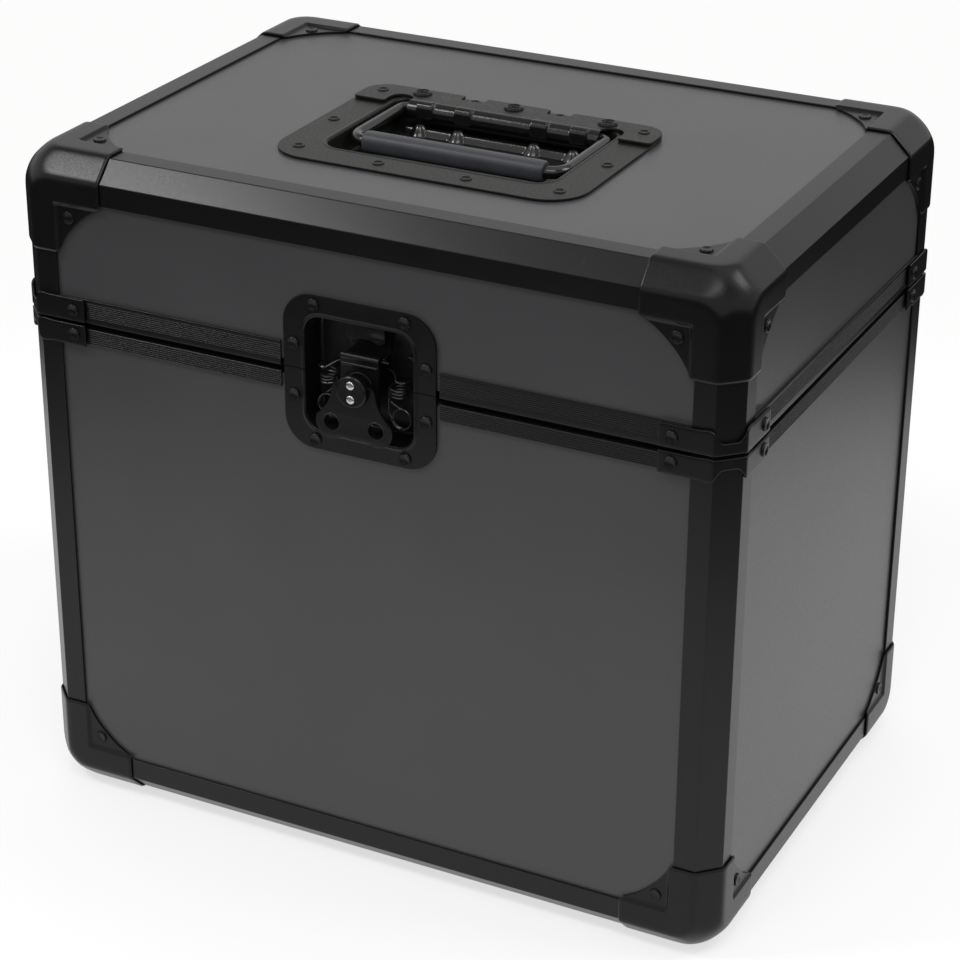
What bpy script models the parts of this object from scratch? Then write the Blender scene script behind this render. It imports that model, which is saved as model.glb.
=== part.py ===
"""A carrying case for records: laminated panels held in hollow edge extrusions, with ball corners, a hinged
lid, a recessed butterfly latch and a recessed, sprung bail handle. Metres, +Z up, the front faces -Y, and
the origin is under the middle of the case, on the surface that it stands on."""

import math

import bmesh
import bpy
from mathutils import Matrix, Vector

MM = 0.001

# Overall sizes, measured between the outer planes of the edge extrusions
case_width = 396 * MM
case_depth = 279 * MM
case_height = 368 * MM
lid_height = 86.75 * MM
seam_gap = 1.5 * MM

# Clearances shared by the pieces that fit together
fit_gap = 0.3 * MM
slide_gap = 0.6 * MM
cut_overrun = 1.0 * MM
weld_distance = 0.001 * MM

# Panels
panel_thickness = 9 * MM
panel_edge_gap = 0.3 * MM

# Edge extrusions: two outer legs joined by a slanted wall, and an inner angle behind the panels
edge_reach = 22.4 * MM
edge_slant = 10.7 * MM
edge_wall = 1.2 * MM
edge_inner_reach = 20 * MM

# Valances, the ribbed bands that meet at the parting line
lid_valance_height = 13.5 * MM
base_valance_height = 12 * MM
valance_wall = 1.2 * MM
valance_lip = 2.4 * MM
valance_inner_height = 8 * MM
rib_pitch = 1.45 * MM
rib_depth = 0.4 * MM
groove_inset = 3.5 * MM
groove_width = 5 * MM
groove_depth = 3.5 * MM
tongue_inset = 5 * MM
tongue_width = 2 * MM
tongue_length = 2.6 * MM
tongue_step = 0.3 * MM

# Ball corners
corner_arm = 51 * MM
corner_sheet = 1.2 * MM
corner_ball_arc = 13 * MM
corner_web_side = 49 * MM
corner_web_start = 25 * MM
corner_web_middle = 35 * MM
corner_rivet_inset = 31.5 * MM

# Clamps that wrap each upright over the ends of the valances
clamp_reach = 38.5 * MM
clamp_sheet = 1.5 * MM
clamp_height = 12 * MM
clamp_edge_gap = 0.9 * MM
clamp_rivet_inset = 31.8 * MM

# Rivets, as low domes
rivet_radius = 3.5 * MM
rivet_crown_radius = 2.1 * MM
rivet_height = 1.3 * MM
rivet_root = 0.5 * MM
shank_radius = 1.5 * MM
rivet_sides = 8

# Latch dish, pressed from sheet and split at the parting line
latch_width = 88 * MM
latch_height = 84 * MM
latch_corner = 16 * MM
latch_mouth_width = 60 * MM
latch_mouth_height = 61 * MM
latch_mouth_corner = 9 * MM
latch_floor_inset = 1.5 * MM
latch_depth = 13 * MM
latch_sheet = 1.2 * MM
latch_split = 0.4 * MM
latch_rivet_x = 25.2 * MM
latch_rivet_z = 36.1 * MM
latch_side_rivet_x = 37.4 * MM
latch_side_rivet_z = 13.8 * MM
keeper_width = 21.5 * MM
keeper_block_low = 15.5 * MM
keeper_block_high = 27.5 * MM
keeper_lip_low = 7.5 * MM
keeper_lip_high = 10.5 * MM

# Spindle, wing and claw of the latch, with heights measured from the parting line and from the spindle
spindle_drop = 3.5 * MM
spindle_radius = 4 * MM
spindle_seat_radius = 7.5 * MM
spindle_seat_height = 3.5 * MM
spindle_seat_depth = 2.5 * MM
disc_radius = 8.5 * MM
disc_thickness = 3 * MM
disc_rivet_radius = 1.4 * MM
disc_rivet_head_radius = 2.2 * MM
disc_rivet_head = 0.6 * MM
disc_rivet_spacing = 7.5 * MM
wing_proud = 6 * MM
wing_sheet = 1.6 * MM
wing_neck = 10 * MM
wing_shoulder_x = 12 * MM
wing_shoulder_z = 3 * MM
wing_lobe_x = 13.1 * MM
wing_lobe_z = 18.7 * MM
wing_lobe_radius = 8.3 * MM
wing_waist_z = 23.2 * MM
wing_hole_x = 12.4 * MM
wing_hole_z = 19.3 * MM
wing_hole_radius = 4.15 * MM
claw_width = 21 * MM
claw_sheet = 2 * MM
claw_sink = 0.6 * MM
claw_top = 15 * MM
claw_foot = 19.5 * MM
claw_bar_radius = 1.9 * MM
claw_nose_reach = 3.2 * MM
claw_ear_reach = 23.5 * MM
claw_ear_height = 2.4 * MM
claw_ear_low = 9.4 * MM
claw_lift = 8 * MM

# Springs beside the spindle
spring_x = 22 * MM
spring_inset = 5.4 * MM
spring_coil_radius = 4 * MM
spring_wire_radius = 0.5 * MM
spring_low = 12.6 * MM
spring_pitch = 3.1 * MM
spring_turns = 5
spring_ring_radius = 4.6 * MM
spring_points_a_turn = 10

# Handle: dish, cover, bail, grip and return spring
handle_width = 172 * MM
handle_front = 83 * MM
handle_back = 38 * MM
handle_front_corner = 22 * MM
handle_back_corner = 14 * MM
handle_sheet = 1.2 * MM
handle_flange_side = 22 * MM
handle_mouth_front = 62.5 * MM
handle_mouth_back = 27 * MM
handle_mouth_corner = 11 * MM
handle_floor_inset = 1.5 * MM
handle_depth = 13 * MM
bail_radius = 3.3 * MM
bail_leg_gap = 4.4 * MM
bail_axis_y = 19.5 * MM
bail_reach = 57.5 * MM
bail_front_corner = 9 * MM
bail_back_corner = 4.6 * MM
bail_pin_length = 21.6 * MM
grip_end_gap = 8.6 * MM
grip_radius = 5.6 * MM
cover_front = 12 * MM
cover_sheet = 1.5 * MM
cover_ear_gap = 3.5 * MM
cover_mouth_width = 13 * MM
cover_mouth_back = 25.5 * MM
cover_notch_x = 25 * MM
cover_notch_width = 13 * MM
cover_notch_front = 26 * MM
cover_band_shares = (-0.79, -0.4, 0.4, 0.79)
cover_band_width = 9.5 * MM
cover_band_rise = 1 * MM
cover_roll_stop = 0.12 * MM
cover_rivet_gap = 0.5 * MM
cover_rivet_y = 30.5 * MM
cover_rivet_radius = 5.3 * MM
cover_rivet_hole = 2.6 * MM
cover_rivet_height = 1.2 * MM
handle_rivet_radius = 3 * MM
handle_rivet_crown = 1.8 * MM
handle_rivet_height = 0.9 * MM
handle_side_rivets = ((13 * MM, -68 * MM), (8 * MM, -23 * MM))
handle_middle_rivets = ((24.5 * MM, -73 * MM), (24.8 * MM, 31.5 * MM))
cover_ear_rivet = (10 * MM, 27 * MM)
shelf_height = 2.5 * MM
shelf_width = 4 * MM
shelf_y = 8.5 * MM
shelf_end_gap = 12 * MM
shelf_bump_radius = 4.3 * MM
shelf_bump_crown = 2.3 * MM
shelf_bump_rise = 1.2 * MM
shelf_bump_sink = 0.3 * MM
return_spring_radius = 2.6 * MM
return_spring_wire = 0.6 * MM
return_spring_pitch = 4 * MM
return_spring_turns = 6

# Hinges on the back
hinge_inset = 80 * MM
hinge_width = 62 * MM
hinge_leaf_height = 34 * MM
hinge_sheet = 1.5 * MM
hinge_knuckle_radius = 4.2 * MM
hinge_pin_radius = 1.8 * MM
hinge_knuckles = 5
hinge_rivet_shares = ((-0.34, 0.62), (0, 0.28), (0.34, 0.62))

# How smooth the rounded outlines and turned pieces are
arc_steps = 5
tube_sides = 12
disc_sides = 24
ball_steps = 12

# Sizes that follow from the ones above
half_width = case_width / 2
half_depth = case_depth / 2
seam_height = case_height - lid_height
base_top = seam_height - seam_gap / 2
lid_bottom = seam_height + seam_gap / 2
panel_inset = edge_wall + fit_gap
panel_back = panel_inset + panel_thickness
edge_inner_face = panel_back + fit_gap
edge_back = edge_inner_face + edge_wall
panel_groove = edge_back + panel_edge_gap
panel_edge_inset = panel_groove + panel_edge_gap
corner_proud = fit_gap + corner_sheet
clamp_proud = fit_gap + clamp_sheet
ball_centre = edge_slant + corner_ball_arc
edge_end = edge_reach + fit_gap
hinge_axis_out = fit_gap + hinge_knuckle_radius
hinge_reach = hinge_axis_out + hinge_knuckle_radius
spindle_height = seam_height - spindle_drop
front_reach = wing_proud + disc_thickness + disc_rivet_head
centring = (front_reach - hinge_reach) / 2
barrel_inner = bail_radius + fit_gap
barrel_outer = barrel_inner + cover_sheet
bail_axis_z = case_height + fit_gap + cover_sheet - barrel_outer
handle_floor = case_height - handle_depth
handle_half_width = handle_width / 2
handle_mouth_x = handle_half_width - handle_flange_side
bail_leg_x = handle_mouth_x - bail_leg_gap
bail_pin_end_x = bail_leg_x - bail_pin_length
grip_half_length = bail_leg_x - grip_end_gap
cover_ear_x = handle_mouth_x + cover_ear_gap
cover_mouth_x = cover_ear_x - cover_mouth_width
cover_rivet_x = cover_mouth_x - cover_rivet_gap
shelf_half_length = handle_mouth_x - shelf_end_gap
hinge_x = half_width - hinge_inset

sides = (-1, 1)
side_names = {(-1, "x"): "left", (1, "x"): "right", (-1, "y"): "front", (1, "y"): "back"}


# Scene and materials

def clear_scene():
    for item in list(bpy.data.objects):
        bpy.data.objects.remove(item, do_unlink=True)


def new_material(name, colour, roughness, metallic):
    material = bpy.data.materials.new(name)
    material.use_nodes = True
    shader = material.node_tree.nodes["Principled BSDF"]
    shader.inputs["Base Color"].default_value = (*colour, 1)
    shader.inputs["Roughness"].default_value = roughness
    shader.inputs["Metallic"].default_value = metallic
    material.diffuse_color = (*colour, 1)
    return material


clear_scene()
parts = bpy.data.collections.new("record_carrying_case")
bpy.context.scene.collection.children.link(parts)

laminate = new_material("charcoal_laminate", (0.075, 0.075, 0.078), 0.55, 0)
extrusion = new_material("black_anodised_extrusion", (0.012, 0.012, 0.013), 0.4, 0.6)
hardware = new_material("black_coated_steel", (0.014, 0.014, 0.015), 0.38, 0.4)
grip_rubber = new_material("matte_black_grip", (0.03, 0.031, 0.036), 0.7, 0)
spring_steel = new_material("blackened_spring_wire", (0.05, 0.05, 0.052), 0.35, 0.8)

case_origin = bpy.data.objects.new("case_origin", None)
case_origin.location = (0, centring, corner_proud)
parts.objects.link(case_origin)


def pivot(name, location):
    """An empty on a joint's axis, which carries the pieces that move about it."""
    empty = bpy.data.objects.new(name, None)
    empty.location = location
    empty.parent = case_origin
    parts.objects.link(empty)
    return empty


# Shapes as bmeshes

def prism(outlines, start, end):
    """Closed outlines in the XY plane, filled between them and carried along Z from start to end."""
    curve = bpy.data.curves.new("outline", "CURVE")
    curve.dimensions = "2D"
    curve.fill_mode = "BOTH"
    curve.extrude = (end - start) / 2
    for points in outlines:
        spline = curve.splines.new("POLY")
        spline.points.add(len(points) - 1)
        for point, (x, y) in zip(spline.points, points):
            point.co = (x, y, 0, 1)
        spline.use_cyclic_u = True
    shape = mesh_of_curve(curve)
    bmesh.ops.translate(shape, verts=shape.verts, vec=(0, 0, (start + end) / 2))
    return shape


def mesh_of_curve(curve):
    """The curve as a closed bmesh, with its caps welded to its sides."""
    holder = bpy.data.objects.new(curve.name, curve)
    parts.objects.link(holder)
    graph = bpy.context.evaluated_depsgraph_get()
    mesh = bpy.data.meshes.new_from_object(holder.evaluated_get(graph))
    shape = bmesh.new()
    shape.from_mesh(mesh)
    bmesh.ops.remove_doubles(shape, verts=shape.verts, dist=weld_distance)
    bmesh.ops.recalc_face_normals(shape, faces=shape.faces)
    bpy.data.objects.remove(holder)
    bpy.data.curves.remove(curve)
    bpy.data.meshes.remove(mesh)
    return shape


def tube(points, radius, resolution=2):
    """A round wire or rod through the points."""
    curve = bpy.data.curves.new("wire", "CURVE")
    curve.dimensions = "3D"
    curve.bevel_depth = radius
    curve.bevel_resolution = resolution
    curve.use_fill_caps = True
    spline = curve.splines.new("POLY")
    spline.points.add(len(points) - 1)
    for point, place in zip(spline.points, points):
        point.co = (*place, 1)
    return mesh_of_curve(curve)


def block(low, high):
    """A box between two opposite corners."""
    shape = bmesh.new()
    bmesh.ops.create_cube(shape, size=1)
    low, high = Vector(low), Vector(high)
    bmesh.ops.transform(shape, verts=shape.verts, matrix=Matrix.Translation((low + high) / 2)
                        @ Matrix.Diagonal((*(high - low), 1)))
    return shape


def hull(points):
    """The convex solid round the points."""
    shape = bmesh.new()
    for point in points:
        shape.verts.new(point)
    made = bmesh.ops.convex_hull(shape, input=shape.verts)
    bmesh.ops.delete(shape, geom=list(set(made["geom_interior"] + made["geom_unused"])), context="VERTS")
    bmesh.ops.recalc_face_normals(shape, faces=shape.faces)
    return shape


def cone(bottom_radius, top_radius, start, end, segments):
    """A cylinder or a cone along Z from start to end."""
    shape = bmesh.new()
    bmesh.ops.create_cone(shape, cap_ends=True, segments=segments, radius1=bottom_radius, radius2=top_radius,
                          depth=end - start)
    bmesh.ops.translate(shape, verts=shape.verts, vec=(0, 0, (start + end) / 2))
    return shape


def placed(shape, matrix):
    """The shape moved by the matrix, with its faces still pointing out where the matrix mirrors it."""
    bmesh.ops.transform(shape, verts=shape.verts, matrix=matrix)
    if matrix.determinant() < 0:
        bmesh.ops.reverse_faces(shape, faces=shape.faces)
    return shape


def frame(origin, x_axis, y_axis, z_axis):
    """The matrix that takes local X, Y and Z to these axes at this origin."""
    matrix = Matrix((x_axis, y_axis, z_axis)).transposed().to_4x4()
    matrix.translation = origin
    return matrix


def boolean(shape, tool, operation):
    """The shape joined with the tool, cut by it or kept where both are."""
    holders = []
    for item in (shape, tool):
        mesh = bpy.data.meshes.new("solid")
        item.to_mesh(mesh)
        item.free()
        holder = bpy.data.objects.new("solid", mesh)
        parts.objects.link(holder)
        holders.append(holder)
    step = holders[0].modifiers.new("boolean", "BOOLEAN")
    step.operation = operation
    step.solver = "EXACT"
    step.object = holders[1]
    graph = bpy.context.evaluated_depsgraph_get()
    mesh = bpy.data.meshes.new_from_object(holders[0].evaluated_get(graph))
    result = bmesh.new()
    result.from_mesh(mesh)
    for holder in holders:
        data = holder.data
        bpy.data.objects.remove(holder)
        bpy.data.meshes.remove(data)
    bpy.data.meshes.remove(mesh)
    return result


def joined(shape, *tools):
    for tool in tools:
        shape = boolean(shape, tool, "UNION")
    return shape


def cut(shape, *tools):
    for tool in tools:
        shape = boolean(shape, tool, "DIFFERENCE")
    return shape


def kept(shape, tool):
    return boolean(shape, tool, "INTERSECT")


def add_part(name, shape, material, parent=case_origin):
    """One named piece, shaded smooth except at its sharp edges, with its origin at its parent."""
    shift = Vector((0, 0, 0)) if parent is case_origin else parent.location
    bmesh.ops.translate(shape, verts=shape.verts, vec=-shift)
    mesh = bpy.data.meshes.new(name)
    shape.to_mesh(mesh)
    shape.free()
    mesh.shade_smooth()
    mesh.set_sharp_from_angle(angle=math.radians(30))
    mesh.materials.append(material)
    piece = bpy.data.objects.new(name, mesh)
    piece.parent = parent
    parts.objects.link(piece)
    return piece


def arc(centre_x, centre_y, radius, start_degrees, end_degrees, steps=arc_steps):
    """Points on a circle from one angle to another."""
    turn = (end_degrees - start_degrees) / steps
    angles = [math.radians(start_degrees + turn * i) for i in range(steps + 1)]
    return [(centre_x + radius * math.cos(a), centre_y + radius * math.sin(a)) for a in angles]


def rounded(low_x, low_y, high_x, high_y, low_radius, high_radius):
    """A rectangle with one radius at its two low corners and another at its two high corners."""
    points = arc(high_x - low_radius, low_y + low_radius, low_radius, -90, 0)
    points += arc(high_x - high_radius, high_y - high_radius, high_radius, 0, 90)
    points += arc(low_x + high_radius, high_y - high_radius, high_radius, 90, 180)
    points += arc(low_x + low_radius, low_y + low_radius, low_radius, 180, 270)
    return points


def at_level(outline, level):
    return [(x, y, level) for x, y in outline]


def rivet(radius=rivet_radius, crown=rivet_crown_radius, height=rivet_height):
    """A low domed head on the XY plane, rooted a little below it."""
    head = cone(radius, crown, 0, height, rivet_sides)
    root = cone(crown, crown, -rivet_root, height / 2, rivet_sides)
    return joined(head, root)


# Panels

def make_panels():
    """Five panels of the base and five of the lid, each held in the grooves of the extrusions round it."""
    across_x = half_width - panel_edge_inset
    across_y = half_depth - panel_edge_inset
    inner_low, inner_high = panel_edge_inset, case_height - panel_edge_inset
    base_rim = base_top - valance_wall - groove_depth - fit_gap
    lid_rim = lid_bottom + valance_wall + fit_gap
    flat = {
        "base_bottom_panel": (panel_inset, panel_back),
        "lid_top_panel": (case_height - panel_back, case_height - panel_inset),
    }
    for name, (low, high) in flat.items():
        panel = block((-across_x, -across_y, low), (across_x, across_y, high))
        if name == "lid_top_panel":
            panel = cut(panel, placed(handle_opening(), Matrix.Translation((0, 0, case_height))))
        add_part(name, panel, laminate)
    for body, low, high in (("base", inner_low, base_rim), ("lid", lid_rim, inner_high)):
        for side in sides:
            outer, inner = side * (half_depth - panel_inset), side * (half_depth - panel_back)
            panel = block((-across_x, min(outer, inner), low), (across_x, max(outer, inner), high))
            if side < 0:
                panel = cut(panel, placed(latch_opening(), latch_frame))
            add_part(f"{body}_{side_names[side, 'y']}_panel", panel, laminate)
            outer, inner = side * (half_width - panel_inset), side * (half_width - panel_back)
            panel = block((min(outer, inner), -across_y, low), (max(outer, inner), across_y, high))
            add_part(f"{body}_{side_names[side, 'x']}_panel", panel, laminate)


# Edge extrusions

def edge_outlines():
    """The section of an edge extrusion, in insets from the two outer planes that meet at the edge."""
    half = [
        (edge_slant, 0),
        (edge_reach, 0),
        (edge_reach, edge_wall),
        (panel_groove, edge_wall),
        (panel_groove, edge_inner_face),
        (edge_inner_reach, edge_inner_face),
        (edge_inner_reach, edge_back),
    ]
    outer = half + [(edge_back, edge_back)] + [(y, x) for x, y in reversed(half)]
    far = panel_groove - edge_wall
    near = edge_slant + math.sqrt(2) * edge_wall - far
    hollow = [(far, near), (far, far), (near, far)]
    return [outer, hollow]


def make_edges():
    """Four uprights and four rails each for the base and the lid, cut square and covered by the corners."""
    spans = {"base": (edge_end, base_top), "lid": (lid_bottom, case_height - edge_end)}
    for body, (low, high) in spans.items():
        for side_x in sides:
            for side_y in sides:
                upright = prism(edge_outlines(), low, high)
                origin = (side_x * half_width, side_y * half_depth, 0)
                place = frame(origin, (-side_x, 0, 0), (0, -side_y, 0), (0, 0, 1))
                name = f"{body}_{side_names[side_y, 'y']}_{side_names[side_x, 'x']}_upright"
                add_part(name, placed(upright, place), extrusion)
        level, inwards = (0, 1) if body == "base" else (case_height, -1)
        for side in sides:
            rail = prism(edge_outlines(), edge_end - half_width, half_width - edge_end)
            place = frame((0, side * half_depth, level), (0, -side, 0), (0, 0, inwards), (1, 0, 0))
            add_part(f"{body}_{side_names[side, 'y']}_rail", placed(rail, place), extrusion)
            rail = prism(edge_outlines(), edge_end - half_depth, half_depth - edge_end)
            place = frame((side * half_width, 0, level), (-side, 0, 0), (0, 0, inwards), (0, 1, 0))
            add_part(f"{body}_{side_names[side, 'x']}_rail", placed(rail, place), extrusion)


# Valances and clamps

def ribbed_face(length, start):
    """The outer face of a valance from start to start + length, as (inset, height) points with fine ribs."""
    count = int(length / rib_pitch)
    points = []
    for i in range(count):
        low = start + i * rib_pitch
        middle, high = low + rib_pitch / 2, low + rib_pitch
        points += [(0, low), (0, middle), (rib_depth, middle), (rib_depth, high)]
    return points


def lid_valance_outline():
    """Insets and heights above the lid's lower face: ribbed flange, web, tongue and inner flange."""
    ribs_start = valance_lip
    face = ribbed_face(lid_valance_height - 2 * valance_lip, ribs_start)
    return [
        (0, 0),
        *face,
        (0, face[-1][1]),
        (0, lid_valance_height),
        (valance_wall, lid_valance_height),
        (valance_wall, valance_wall),
        (edge_inner_face, valance_wall),
        (edge_inner_face, valance_inner_height),
        (edge_back, valance_inner_height),
        (edge_back, tongue_step),
        (tongue_inset + tongue_width, tongue_step),
        (tongue_inset + tongue_width, -tongue_length),
        (tongue_inset, -tongue_length),
        (tongue_inset, 0),
    ]


def base_valance_outline():
    """Insets and depths below the base's upper face: ribbed flange, grooved web and inner flange."""
    groove_end = groove_inset + groove_width
    face = ribbed_face(base_valance_height - 2 * valance_wall, valance_wall)
    foot = base_valance_height
    outline = [
        (0, 0),
        *face,
        (0, face[-1][1]),
        (0, foot),
        (valance_wall, foot),
        (valance_wall, valance_wall),
        (groove_inset - valance_wall, valance_wall),
        (groove_inset - valance_wall, groove_depth + valance_wall),
        (edge_inner_face, groove_depth + valance_wall),
        (edge_inner_face, valance_inner_height),
        (edge_back, valance_inner_height),
        (edge_back, 0),
        (groove_end, 0),
        (groove_end, groove_depth),
        (groove_inset, groove_depth),
        (groove_inset, 0),
    ]
    return [(x, -y) for x, y in outline]


def clamp():
    """A strap round an upright's legs and slanted wall, in insets from the edge, with its height along Z
    from zero. The rivet on the side face has a shank that holds the strap and the valance under it."""
    def wrap(proud):
        corner = edge_slant - proud * (math.sqrt(2) - 1)
        return [(clamp_reach, -proud), (corner, -proud), (-proud, corner), (-proud, clamp_reach)]
    strap = prism([wrap(clamp_proud) + list(reversed(wrap(fit_gap)))], 0, clamp_height)
    middle = clamp_height / 2
    front = frame((clamp_rivet_inset, -clamp_proud, middle), (1, 0, 0), (0, 0, 1), (0, -1, 0))
    side = frame((-clamp_proud, clamp_rivet_inset, middle), (0, 0, 1), (0, 1, 0), (-1, 0, 0))
    shank = cone(shank_radius, shank_radius, -clamp_proud - valance_wall / 2, rivet_height / 2, rivet_sides)
    return joined(strap, placed(rivet(), front), placed(rivet(), side), placed(shank, side))


def make_valances():
    """The bands on both sides of the parting line. The front ones stop at the latch, and each side one
    carries the clamps at its two ends."""
    side_run = half_depth - edge_end
    front_run = half_width - edge_end
    latch_end = latch_width / 2 + fit_gap
    levels = (
        ("base", base_top, base_valance_outline, base_top - clamp_edge_gap - clamp_height),
        ("lid", lid_bottom, lid_valance_outline, lid_bottom + clamp_edge_gap),
    )
    for body, level, outline, clamp_low in levels:
        for side in sides:
            length = prism([outline()], latch_end, front_run)
            place = frame((0, -half_depth, level), (0, 1, 0), (0, 0, 1), (side, 0, 0))
            add_part(f"{body}_front_{side_names[side, 'x']}_valance", placed(length, place), extrusion)
            length = prism([outline()], -side_run, side_run)
            place = frame((side * half_width, 0, level), (-side, 0, 0), (0, 0, 1), (0, 1, 0))
            length = placed(length, place)
            for end in sides:
                origin = (side * half_width, end * half_depth, clamp_low)
                place = frame(origin, (-side, 0, 0), (0, -end, 0), (0, 0, 1))
                length = joined(length, placed(clamp(), place))
            add_part(f"{body}_{side_names[side, 'x']}_valance", length, extrusion)
        length = prism([outline()], -front_run, front_run)
        place = frame((0, half_depth, level), (0, -1, 0), (0, 0, 1), (1, 0, 0))
        add_part(f"{body}_back_valance", placed(length, place), extrusion)


# Ball corners

def ball_corner_solid(proud, reach):
    """The corner of the case this far outside its outer planes, in insets from the vertex: three slanted
    edges that run into a ball, whose middle is as far in as the slant and one arc of the faces' outlines."""
    low = -proud
    near = edge_slant - proud * (math.sqrt(2) - 1)
    radius = math.hypot(ball_centre - low, ball_centre - near)
    points = [(reach, reach, reach)]
    for turn in range(3):
        face = [(x, y, low) for x, y in arc(ball_centre, ball_centre, ball_centre - near, 180, 270)]
        face += [(low, near, reach), (near, low, reach), (low, reach, reach)]
        points += [point[turn:] + point[:turn] for point in face]
    for i in range(1, ball_steps):
        for j in range(1, ball_steps - i):
            direction = Vector((i, j, ball_steps - i - j)).normalized()
            point = [ball_centre - radius * part for part in direction]
            pairs = (point[0] + point[1], point[1] + point[2], point[2] + point[0])
            if min(point) > low and min(pairs) > low + near:
                points.append(tuple(point))
    return hull(points)


def corner_web_outline(inset):
    """The web on one face: two straight sides along the arms and a free edge that bulges to the vertex."""
    start = edge_end + inset
    ends = ((corner_web_side, corner_web_start), (corner_web_start, corner_web_side))
    middle = corner_web_middle
    chord = math.dist(*ends)
    sag = (sum(ends[0]) / 2 - middle) * math.sqrt(2)
    radius = (chord * chord / 4 + sag * sag) / (2 * sag)
    centre = middle + radius / math.sqrt(2)
    half_angle = math.degrees(math.asin(chord / 2 / radius))
    edge = arc(centre, centre, radius, 225 + half_angle, 225 - half_angle)
    return [(start, start), (edge[0][0], start), *edge, (start, edge[-1][1])]


def corner_web():
    """A plate on the panel with a raised wall on its two straight sides, in insets, outwards along +Z from
    the outer plane, and its rivet."""
    under = fit_gap - panel_inset
    floor = under + corner_sheet
    tray = prism([corner_web_outline(0)], under, corner_proud)
    pocket = prism([corner_web_outline(corner_sheet)], floor, corner_proud + cut_overrun)
    place = Matrix.Translation((corner_rivet_inset, corner_rivet_inset, floor))
    return joined(cut(tray, pocket), placed(rivet(), place))


def ball_corner():
    """A pressed corner in insets from its vertex: shell round the three arms, and a web on each face."""
    reach = corner_arm
    wide = edge_end + corner_sheet / 2
    shell = cut(ball_corner_solid(corner_proud, reach), ball_corner_solid(fit_gap, reach + cut_overrun))
    for turn in range(3):
        low = [wide, wide, -corner_proud - cut_overrun]
        high = [reach + cut_overrun, reach + cut_overrun, cut_overrun]
        shell = cut(shell, block(low[turn:] + low[:turn], high[turn:] + high[:turn]))
    faces = (
        frame((0, 0, 0), (1, 0, 0), (0, 1, 0), (0, 0, -1)),
        frame((0, 0, 0), (0, 1, 0), (0, 0, 1), (-1, 0, 0)),
        frame((0, 0, 0), (0, 0, 1), (1, 0, 0), (0, -1, 0)),
    )
    for face in faces:
        shell = joined(shell, placed(corner_web(), face))
    return shell


def make_corners():
    """The same pressed corner at all eight vertices."""
    pattern = ball_corner()
    for body, level, up in (("base", 0, 1), ("lid", case_height, -1)):
        for side_x in sides:
            for side_y in sides:
                origin = (side_x * half_width, side_y * half_depth, level)
                place = frame(origin, (-side_x, 0, 0), (0, -side_y, 0), (0, 0, up))
                name = f"{body}_{side_names[side_y, 'y']}_{side_names[side_x, 'x']}_corner"
                add_part(name, placed(pattern.copy(), place), hardware)
    pattern.free()


# Latch

latch_frame = frame((0, -half_depth, seam_height), (1, 0, 0), (0, 0, 1), (0, -1, 0))
latch_floor = -latch_depth
claw_back = -claw_sink - claw_sheet
claw_nose = claw_back - claw_nose_reach
keeper_front = claw_nose - slide_gap


def centred(width, height, corner, grow):
    """A rounded rectangle about the middle of the latch, grown outwards."""
    x, y, radius = width / 2 + grow, height / 2 + grow, corner + grow
    return rounded(-x, -y, x, y, radius, radius)


def latch_mouth(grow):
    return centred(latch_mouth_width, latch_mouth_height, latch_mouth_corner, grow)


def latch_opening():
    return prism([latch_mouth(latch_sheet + fit_gap)], -panel_back - cut_overrun, cut_overrun)


def latch_dish():
    """Both halves in one: a flange on the panels and a bowl through them, with the rivets round it."""
    flange = prism([centred(latch_width, latch_height, latch_corner, 0)], -latch_sheet, 0)
    outside = latch_sheet - latch_floor_inset
    bowl = hull(at_level(latch_mouth(latch_sheet), -latch_sheet / 2)
                + at_level(latch_mouth(outside), latch_floor - latch_sheet))
    hollow = hull(at_level(latch_mouth(0), cut_overrun)
                  + at_level(latch_mouth(-latch_floor_inset), latch_floor))
    dish = cut(joined(flange, bowl), hollow)
    for x, y in ((latch_rivet_x, latch_rivet_z), (latch_side_rivet_x, latch_side_rivet_z)):
        for side_x in sides:
            for side_y in sides:
                dish = joined(dish, placed(rivet(), Matrix.Translation((side_x * x, side_y * y, 0))))
    return dish


def make_latch_dishes():
    """The dish split at the parting line: the lower half seats the spindle, the upper holds the keeper."""
    far_x, far_y, deep = latch_width, latch_height, latch_depth + latch_sheet + cut_overrun
    lower = kept(latch_dish(), block((-far_x, -far_y, -deep), (far_x, -latch_split / 2, deep)))
    seat_top = latch_floor + spindle_seat_height
    seat_foot = latch_floor - latch_sheet / 2
    seat = cone(spindle_seat_radius, spindle_seat_radius, seat_foot, seat_top, disc_sides)
    bore_radius = spindle_radius + fit_gap
    bore = cone(bore_radius, bore_radius, seat_top - spindle_seat_depth, seat_top + cut_overrun, disc_sides)
    centre = Matrix.Translation((0, -spindle_drop, 0))
    lower = cut(joined(lower, placed(seat, centre)), placed(bore, centre))
    add_part("latch_dish", placed(lower, latch_frame), hardware)

    upper = kept(latch_dish(), block((-far_x, latch_split / 2, -deep), (far_x, far_y, deep)))
    notch_radius = spindle_seat_radius + fit_gap
    notch = cone(notch_radius, notch_radius, -deep, latch_floor + cut_overrun, disc_sides)
    upper = cut(upper, placed(notch, centre))
    half = keeper_width / 2
    root = latch_floor - latch_sheet / 2
    lip = block((-half, keeper_lip_low, root), (half, keeper_lip_high, keeper_front))
    raised = block((-half, keeper_block_low, root), (half, keeper_block_high, keeper_front))
    add_part("latch_keeper_dish", placed(joined(upper, lip, raised), latch_frame), hardware)


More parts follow.
